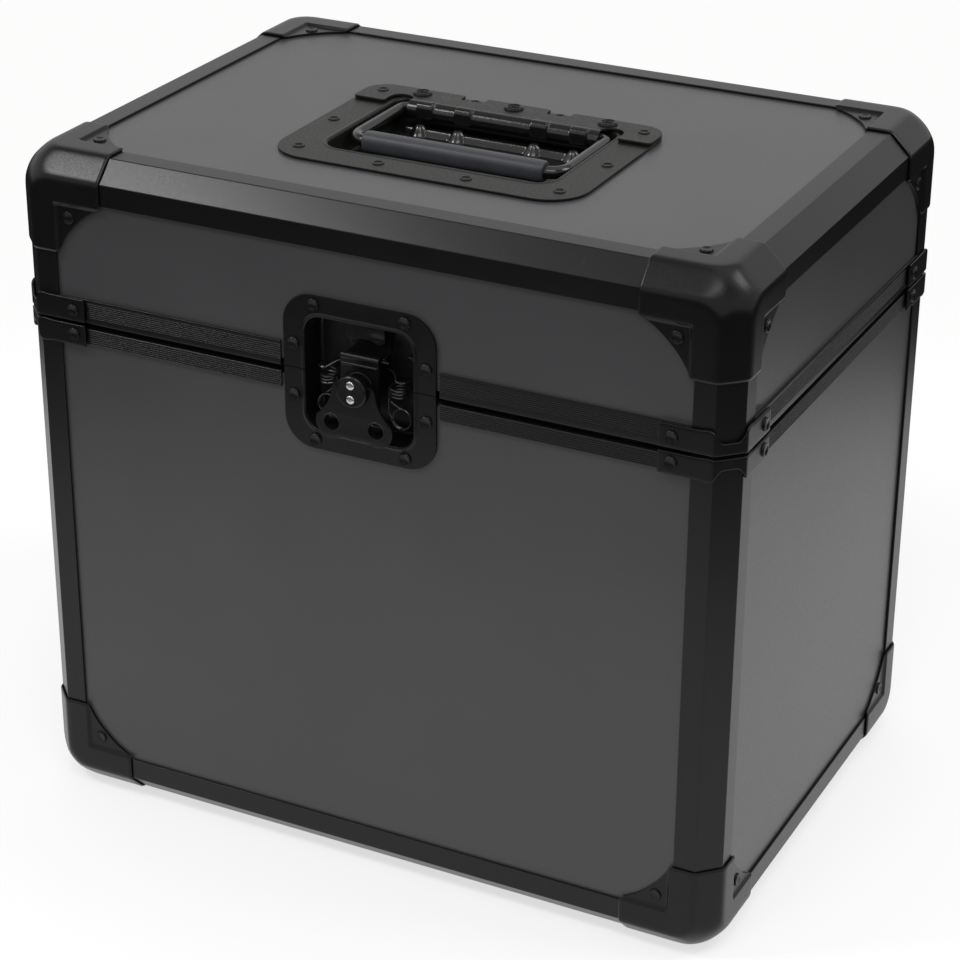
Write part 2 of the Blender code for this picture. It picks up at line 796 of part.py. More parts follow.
def wing_outline():
    """The butterfly's edge round the spindle: a neck, two shoulders and two lobes with a shallow waist."""
    lobe = arc(wing_lobe_x, -wing_lobe_z, wing_lobe_radius, 20, -95)
    right = [
        *arc(0, 0, wing_neck, 90, 30),
        (wing_shoulder_x, wing_shoulder_z),
        (wing_shoulder_x, -wing_shoulder_z),
        *lobe,
        (wing_lobe_x / 2, -(wing_waist_z + wing_lobe_z + wing_lobe_radius) / 2),
    ]
    left = [(-x, y) for x, y in reversed(right)]
    return right + [(0, -wing_waist_z)] + left[:-1]


def make_wing():
    """The wing turns with the spindle: two rivets run through it from the disc to the shaft behind."""
    axis = (0, -half_depth, spindle_height)
    turning = pivot("latch_wing_axis", axis)
    place = frame(axis, (1, 0, 0), (0, 0, 1), (0, -1, 0))
    wing_back = wing_proud - wing_sheet
    rivets = [Matrix.Translation((0, side * disc_rivet_spacing / 2, 0)) for side in sides]

    plate = prism([wing_outline()], wing_back, wing_proud)
    holes = [Matrix.Translation((side * wing_hole_x, -wing_hole_z, 0)) for side in sides]
    for radius, middles in ((wing_hole_radius, holes), (disc_rivet_radius + fit_gap, rivets)):
        for middle in middles:
            hole = cone(radius, radius, wing_back - cut_overrun, wing_proud + cut_overrun, disc_sides)
            plate = cut(plate, placed(hole, middle))
    add_part("latch_wing", placed(plate, place), hardware, turning)

    shaft_foot = latch_floor + spindle_seat_height - spindle_seat_depth + fit_gap
    shaft_top = wing_back - fit_gap
    disc_back = wing_proud + fit_gap
    disc_front = wing_proud + disc_thickness
    spindle = cone(spindle_radius, spindle_radius, shaft_foot, shaft_top, disc_sides)
    disc = cone(disc_radius, disc_radius, disc_back, disc_front, disc_sides)
    for middle in rivets:
        pin_start, pin_end = shaft_top - rivet_root, disc_back + rivet_root
        head_start, head_end = disc_front - rivet_root, disc_front + disc_rivet_head
        pin = cone(disc_rivet_radius, disc_rivet_radius, pin_start, pin_end, rivet_sides)
        head = cone(disc_rivet_head_radius, disc_rivet_radius, head_start, head_end, tube_sides)
        spindle = joined(spindle, placed(pin, middle))
        disc = joined(disc, placed(head, middle))
    add_part("latch_spindle", placed(joined(spindle, disc), place), hardware, turning)


def make_claw():
    """The sliding plate that hooks the keeper, slotted for the spindle, with an ear for each spring."""
    half = claw_width / 2
    front = -claw_sink
    middle_y = claw_top - claw_bar_radius
    plate = block((-half, -claw_foot, claw_back), (half, middle_y, front))
    ear_high = claw_ear_low + claw_ear_height
    ears = block((-claw_ear_reach, claw_ear_low, claw_back), (claw_ear_reach, ear_high, front))
    along_x = frame((0, middle_y, front - claw_bar_radius), (0, 1, 0), (0, 0, 1), (1, 0, 0))
    bar = placed(cone(claw_bar_radius, claw_bar_radius, -half, half, tube_sides), along_x)
    nose = block((-half, keeper_lip_high + slide_gap, claw_nose), (half, middle_y, front - claw_bar_radius))
    slot_half = spindle_radius + fit_gap
    slot_low = -spindle_drop - slot_half - claw_lift - fit_gap
    slot = prism([rounded(-slot_half, slot_low, slot_half, slot_half - spindle_drop, slot_half, slot_half)],
                 claw_back - cut_overrun, front + cut_overrun)
    claw = cut(joined(plate, ears, bar, nose), slot)
    add_part("latch_claw", placed(claw, latch_frame), hardware)


def least_gap(points, wire_radius, skipped):
    """The least clear distance between a wire and itself, leaving out this many neighbouring points."""
    gaps = [math.dist(a, b) for i, a in enumerate(points) for b in points[i + skipped:]]
    return min(gaps) - 2 * wire_radius


def spring_path(side):
    """A ring that faces forwards, a coil that climbs from it and a straight end under the claw's ear."""
    ring_y = -spring_low - spring_ring_radius
    path = [(x, y, 0) for x, y in arc(0, ring_y, spring_ring_radius, 130, 430, spring_points_a_turn)]
    coil_y = -spring_low + spring_pitch / 2
    for i in range(spring_turns * spring_points_a_turn + 1):
        angle = 2 * math.pi * i / spring_points_a_turn
        climb = coil_y + spring_pitch * i / spring_points_a_turn
        path.append((spring_coil_radius * math.cos(angle), climb, spring_coil_radius * math.sin(angle)))
    ear_z = spring_inset - claw_sink - claw_sheet / 2
    path.append((spring_wire_radius, path[-1][1] + spring_pitch / 2, ear_z))
    path.append((0, claw_ear_low - fit_gap, ear_z))
    return [(side * (spring_x + x), y, z - spring_inset) for x, y, z in path]


def make_latch_springs():
    for side in sides:
        path = spring_path(side)
        gap = least_gap(path, spring_wire_radius, spring_points_a_turn // 2)
        print(f"latch spring: least gap to itself {gap / MM:.2f} mm")
        spring = placed(tube(path, spring_wire_radius, 1), latch_frame)
        add_part(f"latch_{side_names[side, 'x']}_spring", spring, spring_steel)


# Handle

def handle_mouth(grow):
    x = handle_mouth_x + grow
    corner = handle_mouth_corner + grow
    return rounded(-x, -handle_mouth_front - grow, x, handle_mouth_back + grow, corner, corner)


def handle_opening():
    """The cut in the top panel, with its height measured from the top of the case."""
    return prism([handle_mouth(handle_sheet + fit_gap)], -panel_back - cut_overrun, cut_overrun)


def make_handle_dish():
    """The flange on the top panel and the bowl below it, with its rivets and the shelf under the axle."""
    top = case_height
    half = handle_half_width
    outline = rounded(-half, -handle_front, half, handle_back, handle_front_corner, handle_back_corner)
    flange = prism([outline], top - handle_sheet, top)
    grown = handle_sheet - handle_floor_inset
    bowl = hull(at_level(handle_mouth(handle_sheet), top - handle_sheet / 2)
                + at_level(handle_mouth(grown), handle_floor - handle_sheet))
    hollow = hull(at_level(handle_mouth(0), top + cut_overrun)
                  + at_level(handle_mouth(-handle_floor_inset), handle_floor))
    dish = cut(joined(flange, bowl), hollow)
    side_places = [(half - inset, y) for inset, y in handle_side_rivets]
    for x, y in (*side_places, *handle_middle_rivets):
        for side in sides:
            head = rivet(handle_rivet_radius, handle_rivet_crown, handle_rivet_height)
            dish = joined(dish, placed(head, Matrix.Translation((side * x, y, top))))
    root = handle_floor - handle_sheet / 2
    shelf = block((-shelf_half_length, shelf_y - shelf_width / 2, root),
                  (shelf_half_length, shelf_y + shelf_width / 2, handle_floor + shelf_height))
    for share in cover_band_shares:
        bump = cone(shelf_bump_radius, shelf_bump_crown, handle_floor - shelf_bump_sink,
                    handle_floor + shelf_height + shelf_bump_rise, tube_sides)
        shelf = joined(shelf, placed(bump, Matrix.Translation((share * cover_mouth_x, shelf_y, 0))))
    add_part("handle_dish", joined(dish, shelf), hardware)


def barrel_bar(radius, start, end):
    """A cylinder on the bail's axis."""
    place = frame((0, bail_axis_y, bail_axis_z), (0, 1, 0), (0, 0, 1), (1, 0, 0))
    return placed(cone(radius, radius, start, end, disc_sides), place)


def make_handle_cover():
    """The plate behind the dish, rolled down at its front into a banded barrel that holds the bail."""
    low = case_height + fit_gap
    high = low + cover_sheet
    half = handle_half_width
    outline = rounded(-half, cover_front, half, handle_back, cover_sheet, handle_back_corner)
    plate = prism([outline], low, high)
    roll_end = cover_mouth_x + slide_gap
    plate = cut(plate, block((-roll_end, cover_front - cut_overrun, low - cut_overrun),
                             (roll_end, bail_axis_y - cover_sheet / 2, high + cut_overrun)))
    for side in sides:
        notch_low = side * cover_notch_x - cover_notch_width / 2
        notch_high = side * cover_notch_x + cover_notch_width / 2
        plate = cut(plate, block((notch_low, cover_notch_front, low - cut_overrun),
                                 (notch_high, handle_back + cut_overrun, high + cut_overrun)))

    roll = barrel_bar(barrel_outer, -roll_end, roll_end)
    for share in cover_band_shares:
        band_start = share * cover_mouth_x - cover_band_width / 2
        band = barrel_bar(barrel_outer + cover_band_rise, band_start, band_start + cover_band_width)
        roll = joined(roll, band)
    reach = 2 * barrel_outer
    roll = kept(roll, block((-reach - roll_end, bail_axis_y - reach, bail_axis_z - bail_radius),
                            (reach + roll_end, bail_axis_y - cover_roll_stop, bail_axis_z + reach)))
    bore = barrel_bar(barrel_inner, -roll_end - cut_overrun, roll_end + cut_overrun)
    cover = joined(plate, cut(roll, bore))

    mouth_radius = (cover_ear_x - cover_mouth_x) / 2
    for side in sides:
        middle_x = side * (cover_mouth_x + mouth_radius)
        mouth_low, mouth_high = middle_x - mouth_radius, middle_x + mouth_radius
        outline = rounded(mouth_low, 0, mouth_high, cover_mouth_back, mouth_radius, mouth_radius)
        cover = cut(cover, prism([outline], bail_axis_z - reach, bail_axis_z + reach))
    for middle_x in (-cover_rivet_x, 0, cover_rivet_x):
        eyelet = rivet(cover_rivet_radius, cover_rivet_radius - cover_rivet_height, cover_rivet_height)
        dimple_end = cover_rivet_height + cut_overrun
        dimple = cone(cover_rivet_hole, cover_rivet_hole, rivet_root / 2, dimple_end, rivet_sides)
        place = Matrix.Translation((middle_x, cover_rivet_y, high))
        cover = joined(cover, placed(cut(eyelet, dimple), place))
    for side in sides:
        head = rivet(handle_rivet_radius, handle_rivet_crown, handle_rivet_height)
        ear_x = side * (half - cover_ear_rivet[0])
        cover = joined(cover, placed(head, Matrix.Translation((ear_x, cover_ear_rivet[1], high))))
    add_part("handle_cover", cover, hardware)


def bail_path():
    """From one pin inside the barrel, round its leg, along the front and back to the other pin."""
    front_y = bail_axis_y - bail_reach
    back, front = bail_back_corner, bail_front_corner
    right = [(bail_pin_end_x, bail_axis_y)]
    right += arc(bail_leg_x - back, bail_axis_y - back, back, 90, 0)
    right += arc(bail_leg_x - front, front_y + front, front, 0, -90)
    left = [(-x, y) for x, y in reversed(right)]
    return [(x, y, bail_axis_z) for x, y in right + left]


def make_bail():
    """The bail and its sleeve swing about the axis inside the barrel, and a spring in it folds them back."""
    swinging = pivot("handle_axis", (0, bail_axis_y, bail_axis_z))
    add_part("handle_bail", tube(bail_path(), bail_radius, 2), hardware, swinging)
    half = grip_half_length
    along_x = frame((0, bail_axis_y - bail_reach, bail_axis_z), (0, 1, 0), (0, 0, 1), (1, 0, 0))
    sleeve = cone(grip_radius, grip_radius, -half, half, disc_sides)
    bore_radius = bail_radius + fit_gap
    bore = cone(bore_radius, bore_radius, -half - cut_overrun, half + cut_overrun, disc_sides)
    add_part("handle_grip", placed(cut(sleeve, bore), along_x), grip_rubber, swinging)


def make_return_spring():
    start = -return_spring_pitch * return_spring_turns / 2
    path = []
    for i in range(return_spring_turns * spring_points_a_turn + 1):
        angle = 2 * math.pi * i / spring_points_a_turn
        path.append((start + return_spring_pitch * i / spring_points_a_turn,
                     bail_axis_y + return_spring_radius * math.cos(angle),
                     bail_axis_z + return_spring_radius * math.sin(angle)))
    gap = least_gap(path, return_spring_wire, spring_points_a_turn // 2)
    print(f"handle spring: least gap to itself {gap / MM:.2f} mm")
    add_part("handle_spring", tube(path, return_spring_wire, 1), spring_steel)


# Hinges

def hinge_leaf_outline(valance_height):
    """The side of a leaf that lies on the panel and steps out over the valance, as outward distances and
    distances from the hinge's axis."""
    on_panel = fit_gap - panel_inset
    over = fit_gap
    step = seam_gap / 2 + valance_height + fit_gap
    near = hinge_knuckle_radius + fit_gap
    far = hinge_leaf_height
    return [
        (over, near),
        (over + hinge_sheet, near),
        (over + hinge_sheet, step + hinge_sheet),
        (on_panel + hinge_sheet, step + hinge_sheet),
        (on_panel + hinge_sheet, far),
        (on_panel, far),
        (on_panel, step),
        (over, step),
    ]


def knuckle_span(index):
    """Where one knuckle starts and ends along the hinge."""
    pitch = hinge_width / hinge_knuckles
    start = -hinge_width / 2 + index * pitch
    return start + fit_gap / 2, start + pitch - fit_gap / 2


def hinge_leaf(valance_height, owned):
    """A leaf with its own knuckles: outward along X, away from the axis along Y, with Z along the axis."""
    half = hinge_width / 2
    leaf = prism([hinge_leaf_outline(valance_height)], -half, half)
    for index in owned:
        start, end = knuckle_span(index)
        tab = block((fit_gap, 0, start), (fit_gap + hinge_sheet, hinge_knuckle_radius + slide_gap, end))
        knuckle = cone(hinge_knuckle_radius, hinge_knuckle_radius, start, end, disc_sides)
        knuckle = placed(knuckle, Matrix.Translation((hinge_axis_out, 0, 0)))
        leaf = joined(leaf, tab, knuckle)
    step = seam_gap / 2 + valance_height + fit_gap + hinge_sheet
    level = fit_gap - panel_inset + hinge_sheet
    for along, away in hinge_rivet_shares:
        y = step + (hinge_leaf_height - step) * away
        place = frame((level, y, along * hinge_width), (0, 1, 0), (0, 0, 1), (1, 0, 0))
        leaf = joined(leaf, placed(rivet(), place))
    return leaf


def make_hinges():
    """Two butt hinges on the back. The base's leaf holds the pin."""
    half = hinge_width / 2
    axis = Matrix.Translation((hinge_axis_out, 0, 0))
    for side in sides:
        name = side_names[side, "x"]
        origin = (side * hinge_x, half_depth, seam_height)
        pin = placed(cone(hinge_pin_radius, hinge_pin_radius, -half, half, tube_sides), axis)
        leaf = joined(hinge_leaf(base_valance_height, range(0, hinge_knuckles, 2)), pin)
        leaf = placed(leaf, frame(origin, (0, 1, 0), (0, 0, -1), (1, 0, 0)))
        add_part(f"{name}_hinge_base_leaf", leaf, hardware)
        bore_radius = hinge_pin_radius + fit_gap
        bore = cone(bore_radius, bore_radius, -half - cut_overrun, half + cut_overrun, tube_sides)
        leaf = cut(hinge_leaf(lid_valance_height, range(1, hinge_knuckles, 2)), placed(bore, axis))
        leaf = placed(leaf, frame(origin, (0, 1, 0), (0, 0, 1), (1, 0, 0)))
        add_part(f"{name}_hinge_lid_leaf", leaf, hardware)


make_panels()
make_edges()
make_valances()
make_corners()
make_latch_dishes()
make_wing()
make_claw()
make_latch_springs()
make_handle_dish()
make_handle_cover()
make_bail()
make_return_spring()
make_hinges()
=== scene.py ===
"""Record carrying case: the finished surfaces, materials, floor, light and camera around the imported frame.
Sizes are in millimetres in the frame's axes until a mesh is made."""

import math

import bmesh
import bpy
import numpy as np
from mathutils import Matrix, Vector


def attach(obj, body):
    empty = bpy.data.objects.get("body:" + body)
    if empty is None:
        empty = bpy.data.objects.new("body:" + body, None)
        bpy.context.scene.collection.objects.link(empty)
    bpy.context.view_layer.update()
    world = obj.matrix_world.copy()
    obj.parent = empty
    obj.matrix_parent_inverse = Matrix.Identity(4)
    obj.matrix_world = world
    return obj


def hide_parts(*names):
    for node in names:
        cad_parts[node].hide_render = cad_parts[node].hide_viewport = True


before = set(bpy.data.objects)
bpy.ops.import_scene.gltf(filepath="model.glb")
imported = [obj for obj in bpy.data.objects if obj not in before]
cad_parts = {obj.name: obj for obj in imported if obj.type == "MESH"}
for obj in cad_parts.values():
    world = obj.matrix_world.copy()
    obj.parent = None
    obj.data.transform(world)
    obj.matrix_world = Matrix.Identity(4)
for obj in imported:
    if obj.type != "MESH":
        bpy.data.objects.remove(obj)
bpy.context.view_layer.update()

MM = 0.001

# The case's outer planes, the level of the latch and the hinges, and the cut in the uprights
half_width = 198.0
half_depth = 139.5
middle_y = 0.45
foot = 1.5
top = 369.5
seam = 282.75
upright_split = 281.6
upright_split_gap = 1.1
front_plane = middle_y - half_depth
back_plane = middle_y + half_depth

# Edge extrusions, in insets from the two planes that meet at the edge
edge_reach = 22.4
edge_slant = 10.7
edge_wall = 1.2
edge_end = 22.7
edge_back = 12.0
edge_inner_face = 10.8
edge_inner_reach = 20.0
panel_groove = 12.3

# Ball corners
corner_arm = 51.0
corner_proud = 1.5
corner_sheet = 1.2
ball_centre = 23.7
arm_side = 23.3
corner_rivet_inset = 31.5
corner_curl = 1.5
curl_depth = 0.6
web_drop = 1.5
web_step = 1.9

# Clamps round the uprights
clamp_proud = 1.8
clamp_reach = 38.5
clamp_sheet = 1.5
clamp_bend = 2.2
clamp_rivet_inset = 31.8

# Latch: the dish's middle, its split and side, and the wing's place and depths
latch_middle = 281.35
latch_split = 0.95
latch_half_gap = 0.2
latch_end = 44.3
spindle_y = -3.5
wing_back = 4.4
wing_face = 6.0
wing_hole = (12.4, -19.3)
pin_spread = 3.75

# Handle, with Y from the middle of the case and heights from the ground
bail_axis = (19.5, 366.2)
bail_radius = 3.3
bail_reach = 57.5
cover_top = 371.3
handle_floor = 356.5
ridge_y = 9.5
band_places = np.array((-44.5, -22.0, 22.0, 44.5))

# Hinges: their places, and distances from the back plane and the axis
hinge_x = 118
hinge_half = 31.0
hinge_out = 4.5
knuckle_radius = 4.2
knuckle_pitch = 12.4
knuckle_length = 12.1
leaf_reach = 34

X, Y, Z = (1, 0, 0), (0, 1, 0), (0, 0, 1)
SIDES = (-1, 1)
NAMES_X = {-1: "left", 1: "right"}
NAMES_Y = {-1: "front", 1: "back"}


# Shapes: a shape is its points (n x 3) and a list of faces

def smooth_step(share):
    """3 s squared less 2 s cubed, with s held between 0 and 1."""
    share = np.clip(share, 0, 1)
    return share * share * (3 - 2 * share)


def loft(rings, around=True, caps=(), flip=False):
    """A surface through rings of points: ring i, point j joins its neighbours both ways with one quad. around
    closes each ring, and caps fills the first or last ring with one face."""
    rings = np.asarray(rings, float)
    count, size = rings.shape[:2]
    i = np.arange(count - 1)[:, None]
    j = np.arange(size if around else size - 1)[None, :]
    after = (j + 1) % size
    corners = (i * size + j, i * size + after, (i + 1) * size + after, (i + 1) * size + j)
    faces = np.stack(np.broadcast_arrays(*corners), -1).reshape(-1, 4).tolist()
    if "first" in caps:
        faces.append(list(range(size))[::-1])
    if "last" in caps:
        faces.append(list(range((count - 1) * size, count * size)))
    if flip:
        faces = [face[::-1] for face in faces]
    return rings.reshape(-1, 3), faces


def together(shapes):
    """Several shapes as one."""
    points, faces, start = [], [], 0
    for part, part_faces in shapes:
        points.append(part)
        faces += [[index + start for index in face] for face in part_faces]
        start += len(part)
    return np.concatenate(points), faces


def placed(shape, origin=(0, 0, 0), x_axis=X, y_axis=Y, z_axis=Z):
    """The shape with its local axes laid along these, and its faces turned back where the axes mirror it."""
    axes = np.array([x_axis, y_axis, z_axis], float)
    points, faces = shape
    if np.linalg.det(axes) < 0:
        faces = [face[::-1] for face in faces]
    return points @ axes + np.array(origin, float), faces


def lying(shape, origin=(0, 0, 0)):
    """The shape with its X, Y and Z laid along Y, Z and X."""
    return placed(shape, origin, Y, Z, X)


def rounded_corners(points, radii, steps=3):
    """A closed outline in which an arc stands for each corner: its middle lies on the corner's bisector, and
    it turns evenly from the tangent point before the corner to the one after it."""
    corner = np.asarray(points, float)
    radius = np.broadcast_to(np.asarray(radii, float), (len(corner),))
    before = np.roll(corner, 1, 0) - corner
    after = np.roll(corner, -1, 0) - corner
    before /= np.linalg.norm(before, axis=1)[:, None]
    after /= np.linalg.norm(after, axis=1)[:, None]
    half = np.arccos(np.clip((before * after).sum(1), -1, 1)) / 2
    bisector = before + after
    bisector /= np.linalg.norm(bisector, axis=1)[:, None]
    middle = corner + bisector * (radius / np.sin(half))[:, None]
    reach = (radius / np.tan(half))[:, None]
    first, last = corner + before * reach - middle, corner + after * reach - middle
    turn = (math.pi - 2 * half)[:, None, None]
    share = np.linspace(0, 1, steps + 1)[None, :, None]
    arc = (np.sin((1 - share) * turn) * first[:, None] + np.sin(share * turn) * last[:, None]) / np.sin(turn)
    return (middle[:, None] + arc).reshape(-1, 2)


def at_level(outline, level):
    """A flat outline's points with this height."""
    return np.column_stack([outline, np.full(len(outline), float(level))])


def bar(outline, start, end, hollow=None):
    """An outline carried straight along Z from start to end. A second one makes a hollow through it, and each
    end is then two faces that meet on lines from the hollow to the outside."""
    outside = [at_level(outline, start), at_level(outline, end)]
    if hollow is None:
        return loft(outside, caps=("first", "last"))
    inside = [at_level(hollow, start), at_level(hollow, end)]
    points, faces = together([loft(outside), loft(inside, flip=True)])
    n, m = len(outline), len(hollow)
    c, d = 0, m * 2 // 3
    a, b = [int(np.argmin(((outline - hollow[k]) ** 2).sum(1))) for k in (c, d)]

    def run(first, last, size):
        return [k % size for k in range(first, last + 1 + (size if last < first else 0))]

    for level in (0, 1):
        for first, last, near, far in ((a, b, c, d), (b, a, d, c)):
            face = [level * n + k for k in run(first, last, n)]
            face += [2 * n + level * m + k for k in run(near, far, m)][::-1]
            faces.append(face if level else face[::-1])
    return points, faces


def unit_circle(sides):
    """Points at even angles on a circle of radius 1."""
    angle = np.linspace(0, 2 * math.pi, sides, endpoint=False)
    return np.column_stack([np.cos(angle), np.sin(angle)])


def turned(profile, sides=24):
    """A profile of (radius, height) pairs turned about Z, with its first and last rings closed."""
    ring = unit_circle(sides)
    return loft([at_level(ring * radius, height) for radius, height in profile], caps=("first", "last"))


def tube(path, radius, sides=10):
    """A circle carried along a path: each ring stands square to the path, and its frame is the one before,
    turned as little as the bend needs."""
    path = np.asarray(path, float)
    along = np.gradient(path, axis=0)
    along /= np.linalg.norm(along, axis=1)[:, None]
    off_axis = (0.31, 0.53, 0.79)
    normals = [np.cross(along[0], off_axis)]
    for direction in along[1:]:
        normals.append(normals[-1] - direction * (normals[-1] @ direction))
    normals = np.array(normals)
    normals /= np.linalg.norm(normals, axis=1)[:, None]
    across = np.cross(along, normals)
    ring = unit_circle(sides)
    rings = path[:, None] + radius * (ring[:, :1] * normals[:, None] + ring[:, 1:] * across[:, None])
    return loft(rings, caps=("first", "last"))


def circle_part(centre, radius, start, end, steps):
    """Points on a circle from one angle to another, in degrees."""
    angle = np.radians(np.linspace(start, end, steps + 1))
    return np.column_stack([centre[0] + radius * np.cos(angle), centre[1] + radius * np.sin(angle)])


def add_object(name, data):
    """A new object in the scene, at the origin."""
    new = bpy.data.objects.new(name, data)
    bpy.context.scene.collection.objects.link(new)
    return new


def plate(outlines, low, high, edge):
    """A flat sheet between closed outlines, from low to high, with rounded edges, from a filled flat curve."""
    curve = bpy.data.curves.new("plate", "CURVE")
    curve.dimensions = "2D"
    curve.fill_mode = "BOTH"
    curve.extrude = (high - low) / 2 - edge
    curve.bevel_depth = edge
    curve.bevel_resolution = 1
    curve.offset = -edge
    for outline in outlines:
        spline = curve.splines.new("POLY")
        spline.points.add(len(outline) - 1)
        flat = np.column_stack([at_level(outline, 0), np.ones(len(outline))])
        spline.points.foreach_set("co", flat.ravel())
        spline.use_cyclic_u = True
    holder = add_object("plate", curve)
    mesh = bpy.data.meshes.new_from_object(holder.evaluated_get(bpy.context.evaluated_depsgraph_get()))
    bpy.data.objects.remove(holder)
    points = np.zeros(len(mesh.vertices) * 3)
    mesh.vertices.foreach_get("co", points)
    points = points.reshape(-1, 3) + (0, 0, (low + high) / 2)
    return points, [list(face.vertices) for face in mesh.polygons]


# Materials

def linear(code):
    """An sRGB hex colour as the linear one that a shader takes."""
    channel = np.array([int(code[k:k + 2], 16) for k in (1, 3, 5)]) / 255
    value = np.where(channel <= 0.04045, channel / 12.92, ((channel + 0.055) / 1.055) ** 2.4)
    return (*value.tolist(), 1)


def add_node(tree, kind, settings=None, inputs=None):
    """A shader node with its settings, and each input set to a value or linked to another node's output."""
    node = tree.nodes.new("ShaderNode" + kind)
    for key, value in (settings or {}).items():
        setattr(node, key, value)
    for key, value in (inputs or {}).items():
        if isinstance(value, bpy.types.NodeSocket):
            tree.links.new(value, node.inputs[key])
        else:
            node.inputs[key].default_value = value
    return node


colour_mix = {"data_type": "RGBA"}
# Handling marks: the noise's cells along a metre, and the band of it that is drawn
marks_per_metre = 260
mark_band = (0.68, 0.74)
# The band of the fine noise that carries roughness from low to high
grain_band = (0.35, 0.65)


def surface(name, colours, patch, grain, bump, roughness, metallic=0.0, level=0.5, marks=None):
    """A coated or moulded surface: soft patches between two colours and a fine grain in height and roughness,
    with the width of both and the height in millimetres. marks gives the colour, strength and stretch of thin
    pale lines, drawn where a stretched noise passes a band."""
    material = bpy.data.materials.new(name)
    material.use_nodes = True
    tree = material.node_tree
    shader = tree.nodes["Principled BSDF"]
    place = add_node(tree, "TexCoord").outputs["Object"]
    patches = add_node(tree, "TexNoise",
                       inputs={"Vector": place, "Scale": 1 / (patch * MM), "Detail": 4}).outputs["Fac"]
    fine = add_node(tree, "TexNoise",
                    inputs={"Vector": place, "Scale": 1 / (grain * MM), "Detail": 3}).outputs["Fac"]
    mixed = add_node(tree, "Math", {"operation": "MULTIPLY_ADD"}, {0: fine, 1: 0.5, 2: patches})
    share = add_node(tree, "MapRange",
                     inputs={"Value": mixed.outputs[0], "From Min": 0.5, "From Max": 1.0})
    base = add_node(tree, "Mix", colour_mix,
                    {0: share.outputs[0], 6: linear(colours[0]), 7: linear(colours[1])}).outputs[2]
    rough = add_node(tree, "MapRange",
                     inputs={"Value": fine, "From Min": grain_band[0], "From Max": grain_band[1],
                             "To Min": roughness[0], "To Max": roughness[1]})
    if marks:
        colour, strength, stretch = marks
        drawn = add_node(tree, "Mapping", inputs={"Vector": place, "Scale": stretch})
        lines = add_node(tree, "TexNoise",
                         inputs={"Vector": drawn.outputs[0], "Scale": marks_per_metre, "Detail": 2})
        thin = add_node(tree, "MapRange",
                        inputs={"Value": lines.outputs["Fac"], "From Min": mark_band[0],
                                "From Max": mark_band[1], "To Max": strength})
        base = add_node(tree, "Mix", colour_mix, {0: thin.outputs[0], 6: base, 7: linear(colour)}).outputs[2]
    height = add_node(tree, "Bump",
                      inputs={"Height": fine, "Distance": bump * MM, "Strength": 1.0})
    tree.links.new(base, shader.inputs["Base Color"])
    tree.links.new(rough.outputs[0], shader.inputs["Roughness"])
    tree.links.new(height.outputs[0], shader.inputs["Normal"])
    shader.inputs["Metallic"].default_value = metallic
    shader.inputs["Specular IOR Level"].default_value = level
    return material


# Paper laminate pressed under melamine on plywood: an even dark grey with a fine matt pebble
laminate = surface("charcoal_laminate_pressed", ("#39393b", "#3e3e40"), 60, 0.9, 0.02, (0.34, 0.41))
# Extruded aluminium, anodised black: dense black and satin, with a faint sparkle in its highlights, drawn
# coarser than its real grain so that it shows, and a few pale handling marks that run upwards
anodised = surface("black_anodised_aluminium", ("#0a0a0b", "#0f0f10"), 40, 0.8, 0.006, (0.285, 0.325),
                   level=0.28, marks=("#3a3a3b", 0.12, (1, 1, 0.12)))
# Pressed steel with a baked black coat: an even soft gloss with a slight orange peel
coated = surface("black_coated_steel", ("#0b0b0c", "#101011"), 24, 1.1, 0.012, (0.28, 0.33), level=0.23)
# The handle's steel, dipped and baked: dull and faintly brown on the flats, where it shows less of the room
dipped = surface("black_dipped_steel", ("#11110f", "#171714"), 30, 1.2, 0.014, (0.3, 0.42), level=0.16)
# The handle's rolled and drawn pieces, of the same steel rubbed smooth by hands: a sharper gloss
rubbed = surface("black_dipped_steel_rubbed", ("#0d0d0d", "#131312"), 14, 1.6, 0.02, (0.16, 0.24), level=0.5)
# Moulded rubber-like sleeve: bluish charcoal, matt, finely grained
rubber = surface("moulded_rubber", ("#2f3034", "#37383d"), 9, 0.7, 0.05, (0.4, 0.55), level=0.4)
# Hard-drawn spring wire, blackened and oiled: a grey metal gloss along each turn
wire = surface("blackened_spring_steel", ("#3b3b3d", "#4c4c4e"), 5, 0.5, 0.01, (0.25, 0.35), metallic=0.9)
# Nickel-plated rivet ends in the latch's disc: pale and bright
nickel = surface("nickel_plated_steel", ("#b8b7b3", "#cfcecb"), 3, 0.4, 0.01, (0.22, 0.3), metallic=1.0)

slot_of = {material.name: "black_steel" for material in (coated, dipped, rubbed, nickel)}
slot_of |= {anodised.name: "black_extrusion", rubber.name: "grip_rubber", wire.name: "spring_wire"}

merge_distance = 0.002
thin_edge = 0.001
crease_angle = 40
rim_angle = 50


